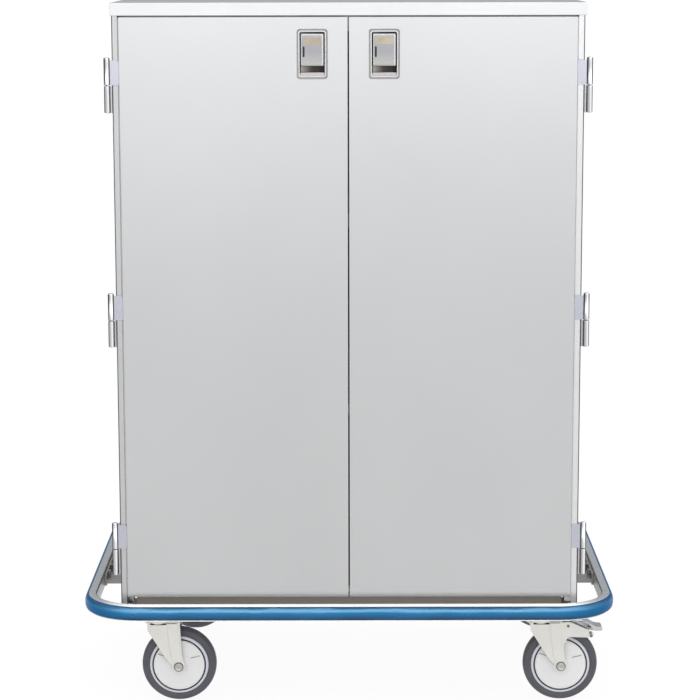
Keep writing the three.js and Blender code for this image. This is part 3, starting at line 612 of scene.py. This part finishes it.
def add_corner_hem(word, sign):
    """A thin dark strip wrapped round a side panel's front corner, as painted shade for the dark line along
    that corner.
    """
    panel_low, panel_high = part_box(f"{word}_side_panel")
    outer = panel_low.x if sign < 0 else panel_high.x
    front = panel_low.y
    outline = [
        (outer - sign * 0.0018, front + 0.0003), (outer - sign * 0.0018, front - 0.0001),
        (outer - sign * 0.0015, front - 0.0003), (outer - sign * 0.0002, front - 0.0003),
        (outer + sign * 0.0002, front + 0.0001), (outer + sign * 0.0002, front + 0.0014),
        (outer - sign * 0.0003, front + 0.0014),
    ]
    hem = extruded(outline, "xy", panel_low.z + 0.0005, panel_high.z - 0.0005)
    make(f"{word}_corner_shade_strip", [hem], "hem_painted_shade", "cabinet")


SPOT_PROFILE = ((0, 0.25), (1.6, 0.2), (2.1, 0.05), (2.6, 0.2), (3.1, 0.15), (3.4, -0.2), (0, -0.2))
SPOT_SHARES = (0.05, 0.2, 0.35, 0.5, 0.65, 0.8, 0.95)
SPOT_COLUMN_INSET = 0.110
SPOT_FLANGE_INSET = 0.014


def weld_spot(face, normal_axis, sign, a, z):
    """A shallow spot-weld mark: a low ring round a faint dome, standing 0.25 mm proud of its sheet."""
    centre = (face, a, z) if normal_axis == "x" else (a, face, z)
    return turned([(r * MM, sign * t * MM) for r, t in SPOT_PROFILE], centre, normal_axis, 20)


def add_weld_spots():
    """Spot welds in two columns on each side panel and one on each rear flange."""
    bottom, top = low("left_side_panel").z, high("left_side_panel").z
    heights = [bottom + (top - bottom) * share for share in SPOT_SHARES]
    for word, sign in SIDES:
        panel_low, panel_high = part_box(f"{word}_side_panel")
        outer = panel_low.x if sign < 0 else panel_high.x
        column = (panel_high.y - panel_low.y) / 2 - SPOT_COLUMN_INSET
        spots = [weld_spot(outer, "x", sign, y, z) for y in (-column, column) for z in heights]
        spots += [weld_spot(panel_high.y, "y", 1, outer - sign * SPOT_FLANGE_INSET, z) for z in heights]
        make(f"{word}_weld_spots", spots, f"{word}_side_painted_light_steel", "cabinet")


def finish_shell():
    """Finishes for the sheets, frame and bolts that stay as CAD."""
    for word, _ in SIDES:
        # painted shade: the side panels' rounded edges take the dark edge steel as a dark outline
        finish_node(f"{word}_side_panel", f"{word}_side_painted_light_steel", 0.0009, edge="edge_steel")
        finish_node(f"{word}_bumper_bracket", "bracket_steel", 0.0006)
        finish_node(f"{word}_door_outer_skin", "front_steel", 0.0007)
        finish_node(f"{word}_door_inner_liner", "front_steel", flatten=False)
        finish_node(f"{word}_latch_bolt", "bolt_steel", 0.0004)
    finish_node("back_panel", "back_steel")
    finish_node("floor_pan", "inner_steel")
    finish_node("top_cap", "cap_steel", 0.0007)
    finish_node("header_rail", "header_painted_shade_steel")
    finish_node("base_frame", "base_painted_shade_steel", 0.001)
    finish_node("lower_shelf", "inner_steel", 0.0006)
    finish_node("upper_shelf", "inner_steel", 0.0006)


# ------------------------------------------------------------------ hinges

DOME = ((0.0, 0.0), (0.35, 0.12), (0.7, 0.5), (0.9, 1.1), (1.0, 2.0))
LEAF_SHEET = 0.0026
STRAP_DROP = 0.0055
KNUCKLE_GAP = 0.0016
PIN_RADIUS = 0.0032
SCREW_HEAD = ((0, 0.0017), (0.002, 0.0016), (0.0038, 0.0008), (0.0042, 0), (0.0042, -0.0004), (0, -0.0004))


def barrel(radius, bottom, top, centre, domed_top, domed_bottom):
    """A hinge knuckle, with each end either domed or flat with a small chamfer."""
    profile = []
    if domed_bottom:
        profile += [(radius * share, bottom + drop * MM) for share, drop in DOME]
    else:
        profile += [(0, bottom), (radius - 0.0005, bottom), (radius, bottom + 0.0005)]
    if domed_top:
        profile += [(radius * share, top - drop * MM) for share, drop in reversed(DOME)]
    else:
        profile += [(radius, top - 0.0005), (radius - 0.0005, top), (0, top)]
    return turned(profile, (centre[0], centre[1], 0), "z", 40)


def add_hinge(word, sign, level):
    door_node = f"{word}_{level}_hinge_door_leaf"
    frame_node = f"{word}_{level}_hinge_frame_leaf"
    axis = pivot(f"{word}_door_hinge")
    door_low, door_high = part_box(door_node)
    frame_low, frame_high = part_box(frame_node)
    radius = abs(door_low.y - axis.y)
    inner = door_high.x if sign < 0 else door_low.x
    strap_top = door_high.z - STRAP_DROP
    corner = strap_corner(inner, strap_top, sign)
    strap = extruded(
        [(axis.x, door_low.z), (inner, door_low.z), *corner, (axis.x, strap_top)],
        "xz", axis.y - 0.0001, axis.y + LEAF_SHEET,
    )
    upper = make(
        f"{word}_{level}_hinge_upper",
        [barrel(radius, door_low.z, door_high.z, axis, True, False)],
        "hinge_steel", f"{word}_door",
    )
    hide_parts(door_node)
    make(f"{word}_{level}_hinge_strap", [strap], "strap_steel", f"{word}_door", 0.0004)
    knuckle_top = door_low.z - KNUCKLE_GAP
    wall = frame_high.x if sign < 0 else frame_low.x
    outer = wall + sign * LEAF_SHEET
    leaf = box(wall, outer, axis.y + 0.0055, frame_high.y, frame_low.z, knuckle_top)
    web = box(wall + sign * 0.0002, axis.x, axis.y + LEAF_SHEET, axis.y + 0.0058, frame_low.z, knuckle_top)
    lower = make(
        f"{word}_{level}_hinge_lower",
        [barrel(radius, frame_low.z, knuckle_top, axis, False, True)],
        "hinge_steel", "cabinet",
    )
    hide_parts(frame_node)
    make(f"{word}_{level}_hinge_leaf", [leaf, web], "leaf_steel", "cabinet", 0.0004)
    middle = (axis.y + 0.006 + frame_high.y) / 2 + 0.004
    heads = []
    for share in (0.2, 0.5, 0.8):
        z = frame_low.z + (knuckle_top - frame_low.z) * share
        heads.append(turned([(r, sign * t) for r, t in SCREW_HEAD], (outer, middle, z), "x", 24))
    make(f"{word}_{level}_hinge_screws", heads, "bolt_steel", "cabinet")
    # painted shade: the pin seen in the gap between the knuckles is black
    pin = barrel(PIN_RADIUS, knuckle_top - 0.001, door_low.z - 0.0001, axis, False, False)
    make(f"{word}_{level}_hinge_pin", [pin], "painted_shade_black", "cabinet")


def strap_corner(inner, top, sign):
    """The strap's free upper corner, rounded off."""
    radius = 0.004
    points = arc(inner + sign * radius, top - radius, radius, 0, math.pi / 2, 5)
    if sign > 0:
        points = [(2 * (inner + radius) - x, z) for x, z in points]
    return points


# ------------------------------------------------------------------ latches

BEZEL_SECTION = (
    (0.0, 0.0), (0.0, 1.2), (0.3, 1.7), (0.9, 2.0), (1.6, 1.9), (2.1, 1.35),
    (2.9, 1.3), (3.4, 1.75), (4.0, 2.0), (4.9, 2.0), (5.6, 1.7), (6.0, 1.1),
)


CREST_RINGS = (7, 8, 9)
DARK_FROM_RING = 10
PAN_RADIUS = 0.006
TALL_INSET = 1.083
WELL_DEPTH = 0.015
WELL_SHEET = 0.0015


def pan_loop(centre, size, inset, depth):
    """The pan's rounded outline, drawn in by an inset that is a little larger at top and bottom."""
    width, height = size.x - 2 * inset, size.z - 2 * inset * TALL_INSET
    outline = rounded(centre.x, centre.z, width, height, max(PAN_RADIUS - inset * 0.5, 0.003))
    return [(x, depth, z) for x, z in outline]


def tint_bezel(pan, corners):
    """A painted highlight along the bezel's crest, and painted shade on its inner slope and on the well
    behind it.
    """
    pan.data.materials.append(MATERIALS["painted_highlight_steel"])
    pan.data.materials.append(MATERIALS["recess_painted_shade_steel"])
    first_ring = 2
    for face in pan.data.polygons:
        ring = face.index // corners - first_ring
        if len(face.vertices) > 4 or ring < 0:
            continue
        if ring in CREST_RINGS:
            face.material_index = 1
        elif ring >= DARK_FROM_RING:
            face.material_index = 2


def add_latch(word):
    """The latch pan's bezel and well, the ledge in it, its lining in painted shade and the paddle."""
    node = f"{word}_latch_pan"
    pan_low, pan_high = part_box(node)
    centre = (pan_low + pan_high) / 2
    size = pan_high - pan_low
    face = low(f"{word}_door_outer_skin").y
    seat = face - 0.0003
    floor = pan_low.y + WELL_DEPTH
    loops = [pan_loop(centre, size, inset * MM, seat - rise * MM) for inset, rise in BEZEL_SECTION]
    for inset, rise in ((0.006, 0.0015), (0.0065, 0.0004), (0.008, 0)):
        loops.append(pan_loop(centre, size, inset, floor - rise))
    shell = [pan_loop(centre, size, 0.0046, depth) for depth in (seat, floor + WELL_SHEET)]
    skin = rings(list(reversed(shell)) + loops)
    pan = make(node + "_shell", [skin], "bezel_steel", f"{word}_door", smooth=50)
    tint_bezel(pan, len(loops[0]))
    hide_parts(node)
    bottom = centre.z - 0.042
    wedge = extruded(
        [(pan_low.y + 0.0012, bottom - 0.0002), (pan_low.y + 0.0024, bottom - 0.0002),
         (pan_low.y + 0.0062, bottom + 0.0057), (pan_low.y + 0.0050, bottom + 0.0060)],
        "yz", centre.x - 0.0238, centre.x + 0.0238,
    )
    make(f"{word}_latch_ledge", [wedge], "ledge_steel", f"{word}_door", 0.0003)
    back, front = floor - 0.0001, floor - 0.0003
    lining_low, lining_high = bottom + 0.0059, bottom + 0.083
    lining = extruded(
        [(front, lining_low), (front, lining_high), (back, lining_high), (back, lining_low)],
        "yz", centre.x - 0.0225, centre.x + 0.0225,
    )
    make(f"{word}_latch_lining", [lining], "lining_painted_shade_steel", f"{word}_door")
    add_paddle(word)


def add_paddle(word):
    """The pull plate with its slot, side returns, a border in painted highlight and plain label; the slot is
    filled black as painted shade.
    """
    node = f"{word}_latch_paddle"
    box_low, box_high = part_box(node)
    centre = (box_low + box_high) / 2
    width, height = box_high.x - box_low.x, box_high.z - box_low.z
    front = box_low.y
    body = f"{word}_paddle"

    def loop(inset, depth, radius=0.0024):
        outline = rounded(centre.x, centre.z, width - 2 * inset, height - 2 * inset, radius)
        return [(x, front + depth, z) for x, z in outline]

    slot_x, slot_z = box_low.x + 0.0061, box_high.z - 0.0355
    slot = rounded(slot_x, slot_z, 0.0038, 0.0205, 0.0011, 3)
    rim = rounded(centre.x, centre.z, width - 0.0032, height - 0.0032, 0.0016)
    face_caps = tessellate_polygon([[Vector((x, z, 0)) for x, z in outline] for outline in (rim, slot)])
    flat = [*rim, *slot]
    face = ([(x, front, z) for x, z in flat], [tuple(tri) for tri in face_caps])
    well = rings([[(x, depth, z) for x, z in slot] for depth in (front, front + 0.002)], cap_start=False)
    edge = loop(0.0016, 0, 0.0016)
    side = rings([edge, loop(0.0007, 0.0004), loop(0, 0.0014), loop(0, 0.003)], cap_start=False)
    returns = [
        box(x0, x1, front + 0.0028, box_high.y, box_low.z + 0.008, box_high.z - 0.003)
        for x0, x1 in ((box_low.x, box_low.x + 0.002), (box_high.x - 0.002, box_high.x))
    ]
    plate = weld([face, well, side])
    paddle = make(f"{word}_paddle_plate", [plate, *returns], "paddle_steel", body)
    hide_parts(node)
    crest = [(x, z) for x, _, z in edge]
    inner = rounded(centre.x - 0.0008, centre.z - 0.0007, width - 0.0060, height - 0.0052, 0.0008)
    crest_caps = extruded(crest, "xz", front - 0.00025, front + 0.0002, [inner])
    make(f"{word}_paddle_border", [crest_caps], "painted_highlight_steel", body)
    # painted shade: a black filler set into the slot
    black = extruded(rounded(slot_x, slot_z, 0.0036, 0.0203, 0.0010, 3), "xz", front + 0.0003, front + 0.0019)
    make(f"{word}_paddle_slot", [black], "painted_shade_black", body)
    label_outline = rounded(centre.x + 0.0005, box_high.z - 0.0145, 0.035, 0.0125, 0.0014, 3)
    label = extruded(label_outline, "xz", front - 0.00015, front + 0.0002)
    make(f"{word}_paddle_label", [label], "label_tan", body)


def weld(parts):
    """Joins parts whose edges meet point for point."""
    index, points, faces = {}, [], []
    for part_points, part_faces in parts:
        ids = []
        for point in part_points:
            key = tuple(round(value, 7) for value in point)
            if key not in index:
                index[key] = len(points)
                points.append(point)
            ids.append(index[key])
        faces += [tuple(ids[i] for i in face) for face in part_faces]
    return points, faces


# ------------------------------------------------------------------ bumper

RAIL_CORNER = 0.112
RAIL_DEPTH = 0.016
RAIL_SHEET = 0.0025
BEND_STEPS = 5
CORNER_STEPS = 20


def ring_stations(end, joint, half_width, half_depth):
    """Places and outward directions along one half of the bumper ring, from its left joint to its right."""
    stations = [(-half_width, joint, -1, 0)]
    for corner in (-1, 1):
        for i in range(CORNER_STEPS + 1):
            turn = math.pi / 2 * i / CORNER_STEPS
            nx = -math.cos(turn) if corner < 0 else math.sin(turn)
            ny = end * (math.sin(turn) if corner < 0 else math.cos(turn))
            stations.append((
                corner * (half_width - RAIL_CORNER) + RAIL_CORNER * nx,
                end * (half_depth - RAIL_CORNER) + RAIL_CORNER * ny,
                nx, ny,
            ))
    stations.append((half_width, joint, 1, 0))
    return stations


def channel_section(bottom, top):
    """The rolled C section, open outward, with rounded bends and softened lips."""
    inner = -RAIL_DEPTH
    soft = 0.0007
    corner = 0.0022
    quarter = math.pi / 2
    points = arc(inner + corner, bottom + corner, corner, math.pi, 1.5 * math.pi, BEND_STEPS)
    points += arc(-soft, bottom + soft, soft, -quarter, 0, 3)
    points += arc(-soft, bottom + RAIL_SHEET - soft, soft, 0, quarter, 3)
    points += [(inner + RAIL_SHEET, bottom + RAIL_SHEET), (inner + RAIL_SHEET, top - RAIL_SHEET)]
    points += arc(-soft, top - RAIL_SHEET + soft, soft, -quarter, 0, 3)
    points += arc(-soft, top - soft, soft, 0, quarter, 3)
    points += arc(inner + corner, top - corner, corner, quarter, math.pi, BEND_STEPS)
    return points


def strip_section(bottom, top, proud):
    """The blue strip: straight where it sits in the channel, a full arch in front."""
    low_edge, high_edge = bottom + RAIL_SHEET + 0.0002, top - RAIL_SHEET - 0.0002
    middle, half = (low_edge + high_edge) / 2, (high_edge - low_edge) / 2
    points = [(RAIL_SHEET - RAIL_DEPTH + 0.0003, low_edge), (-0.0004, low_edge)]
    steps = 22
    for i in range(steps + 1):
        angle = math.pi * (i / steps - 0.5)
        reach = max(math.cos(angle), 0.0) ** 0.62
        points.append((0.0008 + (proud - 0.0008) * reach, middle + half * math.sin(angle)))
    points += [(-0.0004, high_edge), (RAIL_SHEET - RAIL_DEPTH + 0.0003, high_edge)]
    return points


def darken_bend(rail, count):
    """The channel's inner top bend, given the dark edge steel as painted shade; it is the last arc of the
    section.
    """
    rail.data.materials.append(MATERIALS["edge_steel"])
    for face in rail.data.polygons:
        if len(face.vertices) == 4 and face.index % count in range(count - BEND_STEPS - 1, count - 1):
            face.material_index = 1


def add_bumper():
    for word, end in ENDS:
        channel, strip = f"{word}_bumper_channel", f"{word}_bumper_strip"
        c_low, c_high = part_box(channel)
        joint = c_high.y if end < 0 else c_low.y
        half_depth = max(abs(c_low.y), abs(c_high.y))
        stations = ring_stations(end, joint, c_high.x, half_depth)
        section = channel_section(c_low.z, c_high.z)
        ring = swept(section, stations)
        rail = make(f"{word}_rail", [ring], "rail_steel", "cabinet", smooth=30)
        darken_bend(rail, len(section))
        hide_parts(channel)
        insert = swept(strip_section(c_low.z, c_high.z, high(strip).x - c_high.x), stations)
        blue = make(f"{word}_rail_strip", [insert], "bumper_blue", "cabinet", smooth=50)
        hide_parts(strip)


# ------------------------------------------------------------------ casters

FORK_INNER = 0.0265
FORK_PLATE = 0.0035
RIB_RISE = 0.002
CROWN_BOTTOM = 0.164
MOUNT_CORNERS = [(x, y) for x in (-0.045, 0.045) for y in (-0.035, 0.035)]
MOUNT_THICKNESS = 0.005
BRAKE_PIN_X, BRAKE_PIN_Z = 56, 160.5
WASHER = ((8.4, 0.05), (8.4, 0.6), (9.2, 0.7), (9.9, 0.5), (9.9, 0.05))
RIVET = ((0, 1.6), (1.6, 1.5), (2.8, 0.6), (3.0, -0.5), (0, -0.5))
BOLT_FLANGE = ((0, 0), (8.5, 0), (8.8, -0.4), (8.8, -1.2), (0, -1.2))
BOLT_HEX = ((0, -1.0), (6.6, -1.0), (7.0, -1.4), (7.0, -5.0), (6.2, -5.7), (0, -5.7))
TYRE_HALF = [
    (60.6, 14.2), (61.6, 15.3), (64, 16.2), (67.5, 16.3), (68.2, 15.9), (68.9, 16.2), (72.2, 15.3),
    (74.4, 12.4), (75.6, 8.6), (75.9, 6.2), (75.5, 5.8), (75.5, 5.2), (76.1, 4.6), (76.2, 0),
]
RIM_HALF = [
    (6.4, 24.5), (12.5, 24.5), (13.5, 21.0), (52.6, 16.4), (54.4, 16.1),
    (55.0, 16.6), (58.6, 15.9), (59.6, 15.2), (60.3, 14.0),
]
DISC = (
    (8.6, 22.4), (8.6, 25.2), (13.2, 25.0), (14.6, 23.6), (17.5, 21.2), (24, 20.3), (44.5, 19.7), (47, 19.4),
    (50.6, 18.6), (51.8, 17.6), (52.0, 16.2),
)
DISC_SEAL = ((52.1, 16.0), (52.3, 17.2), (53.6, 17.6), (55.1, 17.1), (55.2, 15.8))
DISC_MARKS = (((-42.9, 24.1), (-25.4, 17.6)), ((24.0, 15.4), (42.9, 19.8)))


def scaled(points, origin_x):
    return [(origin_x + a * MM, b * MM) for a, b in points]


def cheek_outline(trail, hub_z):
    """A fork cheek seen from the side, in millimetres from the kingpin and the floor."""
    points = [(-21, 168), (-21, 155), *arc(-18, 153, 3, math.pi, 1.15 * math.pi, 3)]
    points += [(-12, 138), (2, 115.5), (14, 95)]
    points += arc(trail, hub_z, 13.5, math.pi - 0.25, 2 * math.pi + 0.3, 22)
    points += [(49, 98), (47.5, 118), (46, 150), (45, 168)]
    return points


def rib_outline(trail, hub_z, inset):
    """The raised rib pressed down the middle of a fork cheek."""
    points = [(18 + inset, 167), (20 + inset, 140), (24.5 + inset, 104)]
    points += arc(trail, hub_z, 11.5 - inset, math.pi - 0.35, 2 * math.pi + 0.35, 20)
    points += [(44.5 - inset, 104), (42.5 - inset, 140), (41 - inset, 167)]
    return points


def brake_outline():
    """The brake housing that stands out behind the fork on either side."""
    points = [(44, 168), (61, 168), (82, 158.7), (105, 148.6)]
    points += arc(104.5, 145.5, 3.2, 1.1, -0.1, 4)
    points += [(107.5, 139.5), (104.5, 136), (64, 137.2)]
    points += [*arc(62, 127.2, 10, 0.5 * math.pi, 0.97 * math.pi, 6), (50, 124), (44, 124)]
    return points


def add_caster(end, word, braked):
    name = f"{end}_{word}_caster"
    king = pivot(f"{name}_swivel")
    wheel = (low(f"{name}_tyre") + high(f"{name}_tyre")) / 2
    hub_z = high(f"{name}_tyre").z / 2
    trail = (wheel.x - king.x) / MM
    swivel, rolling = f"{name}_swivel", f"{name}_wheel"
    hub = Vector((wheel.x, king.y, hub_z))
    add_plate(name, king)
    add_fork(name, king, trail, hub_z / MM, swivel, braked)
    add_wheel(name, hub, rolling)
    add_axle(name, hub, swivel)
    if braked:
        add_pedal(name, king)


def add_plate(name, king):
    """The slotted mounting plate with its swivel head and four hexagon bolts."""
    node = f"{name}_plate"
    p_low, p_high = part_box(node)
    half_x, half_y = (p_high.x - p_low.x) / 2, (p_high.y - p_low.y) / 2
    top = p_high.z
    under = top - MOUNT_THICKNESS
    slots = [rounded(king.x + x, king.y + y, 0.013, 0.0095, 0.0047, 5) for x, y in MOUNT_CORNERS]
    plate = extruded(rounded(king.x, king.y, 2 * half_x, 2 * half_y, 0.008), "xy", under, top, slots)
    bearing = p_low.z
    head = turned([
        (0, bearing), (0.009, bearing), (0.0125, bearing + 0.001), (0.013, bearing + 0.0056),
        (0.009, bearing + 0.0057), (0.009, under - 0.0066), (0.029, under - 0.0066), (0.0325, under - 0.0056),
        (0.0338, under - 0.0035), (0.0338, under - 0.0012), (0.032, under + 0.0003), (0, under + 0.0003),
    ], (king.x, king.y, 0), "z", 56)
    piece = make(f"{name}_mount", [plate, head], "caster_paint", "cabinet", 0.0005)
    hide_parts(node)
    bolts = []
    for x, y in MOUNT_CORNERS:
        for profile, sides in ((BOLT_FLANGE, 28), (BOLT_HEX, 6)):
            section = [(r * MM, t * MM) for r, t in profile]
            bolts.append(turned(section, (king.x + x, king.y + y, under), "z", sides))
    make(f"{name}_mount_bolts", bolts, "bolt_steel", "cabinet", smooth=25)


def add_fork(name, king, trail, hub, body, braked):
    """Two ribbed cheeks, the bridge and lower race, and on braked casters the housing and its rivets."""
    node = f"{name}_fork"
    crown = CROWN_BOTTOM
    outer = FORK_INNER + FORK_PLATE
    bore = arc(trail, hub, 6.5, 0, 2 * math.pi, 20)[:-1]
    parts, rivets = [], []
    for side in (-1, 1):
        near, far = king.y + side * FORK_INNER, king.y + side * outer
        cheek = scaled(cheek_outline(trail, hub), king.x)
        parts.append(extruded(cheek, "xz", near, far, [scaled(bore, king.x)]))
        crest = king.y + side * (outer + RIB_RISE)
        foot, brow = (-1.6, far - side * 0.0005), (0.0, far + side * 0.0003)
        slope = (foot, brow, (1.2, crest - side * 0.0006), (2.4, crest))
        parts.append(rings([
            [(x, y, z) for x, z in scaled(rib_outline(trail, hub, inset), king.x)] for inset, y in slope
        ]))
        if braked:
            housing = scaled(brake_outline(), king.x)
            parts.append(extruded(housing, "xz", near + side * 0.0004, far - side * 0.0004))
            rivet = [(r * MM, side * t * MM) for r, t in RIVET]
            for x, z in ((BRAKE_PIN_X, BRAKE_PIN_Z), (101.5, 146.3), (103, 140.2)):
                rivets.append(turned(rivet, (king.x + x * MM, far, z * MM), "y", 18))
    bridge = extruded(rounded(king.x + 0.012, king.y, 0.066, 2 * outer, 0.006), "xy", crown, crown + 0.006)
    race_top = high(node).z
    race = turned([
        (0, crown), (0.029, crown), (0.0335, crown + 0.005), (0.034, crown + 0.008),
        (0.034, race_top - 0.004), (0.033, race_top - 0.0016), (0.0305, race_top), (0, race_top),
    ], (king.x, king.y, 0), "z", 56)
    fork = make(f"{name}_yoke", [*parts, bridge, race], "caster_paint", body, 0.0006)
    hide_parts(node)
    if braked:
        make(f"{name}_brake_rivets", rivets, "edge_steel", body)
    seal_section = [(0.0295, -0.0005), (0.0315, -0.0005), (0.0315, 0.0002), (0.0295, 0.0002)]
    seal = turned([(r, race_top + t) for r, t in seal_section], (king.x, king.y, 0), "z", 40, True)
    make(f"{name}_race_seal", [seal], "rubber_black", body)


def add_wheel(name, centre, body):
    """Tyre and rim, with a thread guard, its seal and two plain marks on either side."""
    tyre = turned(mirrored(TYRE_HALF), centre, "y", 120, True)
    piece = make(f"{name}_tread", [tyre], "tyre_rubber", body, smooth=28)
    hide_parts(f"{name}_tyre")
    rim = turned(mirrored(RIM_HALF), centre, "y", 120, True)
    core = make(f"{name}_rim", [rim], "rim_grey", body, smooth=28)
    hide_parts(f"{name}_wheel_core")
    for side, label in ((-1, "near"), (1, "far")):
        disc = turned([(r * MM, side * t * MM) for r, t in DISC], centre, "y", 120, True)
        make(f"{name}_disc_{label}", [disc], "disc_white", body, smooth=32)
        seal = turned([(r * MM, side * t * MM) for r, t in DISC_SEAL], centre, "y", 120, True)
        make(f"{name}_seal_{label}", [seal], "seal_black", body)
        marks = [disc_mark(centre, side, start, end) for start, end in DISC_MARKS]
        make(f"{name}_marks_{label}", marks, "disc_mark", body)


def disc_mark(centre, side, start, end):
    """A short embossed dash on the thread guard, tapered toward its outer end."""
    start, end = Vector(start) * MM, Vector(end) * MM
    across = (end - start).orthogonal().normalized() * 0.0008
    corners = [start - across, end - across * 0.5, end + across * 0.5, start + across]
    outline = [(centre.x + corner.x, centre.z + corner.y) for corner in corners]
    return extruded(outline, "xz", centre.y + side * 0.0190, centre.y + side * 0.0206)


def mirrored(half):
    """A half section and its mirror image, without repeating a point that lies on the middle plane."""
    other = [(r, -t) for r, t in reversed(half) if t]
    return [(r * MM, t * MM) for r, t in [*half, *other]]


def add_axle(name, centre, body):
    node = f"{name}_axle"
    reach = high(node).y - centre.y
    crest = FORK_INNER + FORK_PLATE + RIB_RISE
    shoulder = crest + 0.0002
    profile = [
        (0, -reach + 0.0026), (0.0030, -reach + 0.0026), (0.0032, -reach + 0.0004), (0.0038, -reach + 0.0001),
        (0.0066, -reach), (0.0078, -reach + 0.0008), (0.0082, -reach + 0.002), (0.0082, -shoulder),
        (0.006, -shoulder),
        (0.006, shoulder), (0.0088, shoulder), (0.0088, reach - 0.0012), (0.0076, reach - 0.0002),
        (0.0045, reach), (0, reach),
    ]
    bolt = turned(profile, centre, "y", 36)
    axle = make(f"{name}_bolt", [bolt], "bolt_steel", body, smooth=32)
    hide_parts(node)
    washers = [
        turned([(r * MM, side * (crest + t * MM)) for r, t in WASHER], centre, "y", 48, True)
        for side in (-1, 1)
    ]
    make(f"{name}_washers", washers, "edge_steel", body)


def add_pedal(name, king):
    """The slotted brake treadle on the sleeve that turns about its pin."""
    node = f"{name}_brake_pedal"
    p_low, p_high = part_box(node)
    body = f"{name}_brake"
    treadle = [
        (BRAKE_PIN_X, BRAKE_PIN_Z - 3), (BRAKE_PIN_X - 3, BRAKE_PIN_Z), (BRAKE_PIN_X, BRAKE_PIN_Z + 3),
        (63, 166.4), (70, 168.6), (77, 169.4), (84, 169.5), (93, 167), (101, 162.5), (110, 157.2),
        (117, 155.5), (125, 154.6), (127, 153), (127, 149), (126, 147), (113, 146.5), (106, 148), (100, 150),
    ]
    slot = [
        (79, 166.2), (83, 166.6), (86, 166.2), (94, 163), (102, 157.5), (105, 154), (103, 153.2), (99, 153.5),
        (88, 160),
    ]
    bar = extruded(scaled(treadle, king.x), "xz", p_low.y, p_high.y, [scaled(slot, king.x)])
    near, far = p_low.y - king.y, p_high.y - king.y
    sleeve = [(0.0033, near), (0.006, near), (0.006, far), (0.0033, far)]
    hub = turned(sleeve, (king.x + BRAKE_PIN_X * MM, king.y, BRAKE_PIN_Z * MM), "y", 24, True)
    pedal = make(f"{name}_treadle", [bar, hub], "pedal_steel", body, 0.0006)
    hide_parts(node)


# ------------------------------------------------------------------ the whole

bpy.context.scene.view_settings.view_transform = "Standard"
bpy.context.scene.view_settings.look = "None"
add_camera()
add_world()
add_floor()
finish_shell()
for side_word, side_sign in SIDES:
    for level_word in ("top", "middle", "bottom"):
        add_hinge(side_word, side_sign, level_word)
    add_latch(side_word)
    add_door_seal(side_word, side_sign)
    add_corner_hem(side_word, side_sign)
add_weld_spots()
add_bumper()
for end_word, _ in ENDS:
    for side_word, side_sign in SIDES:
        add_caster(end_word, side_word, side_sign > 0)
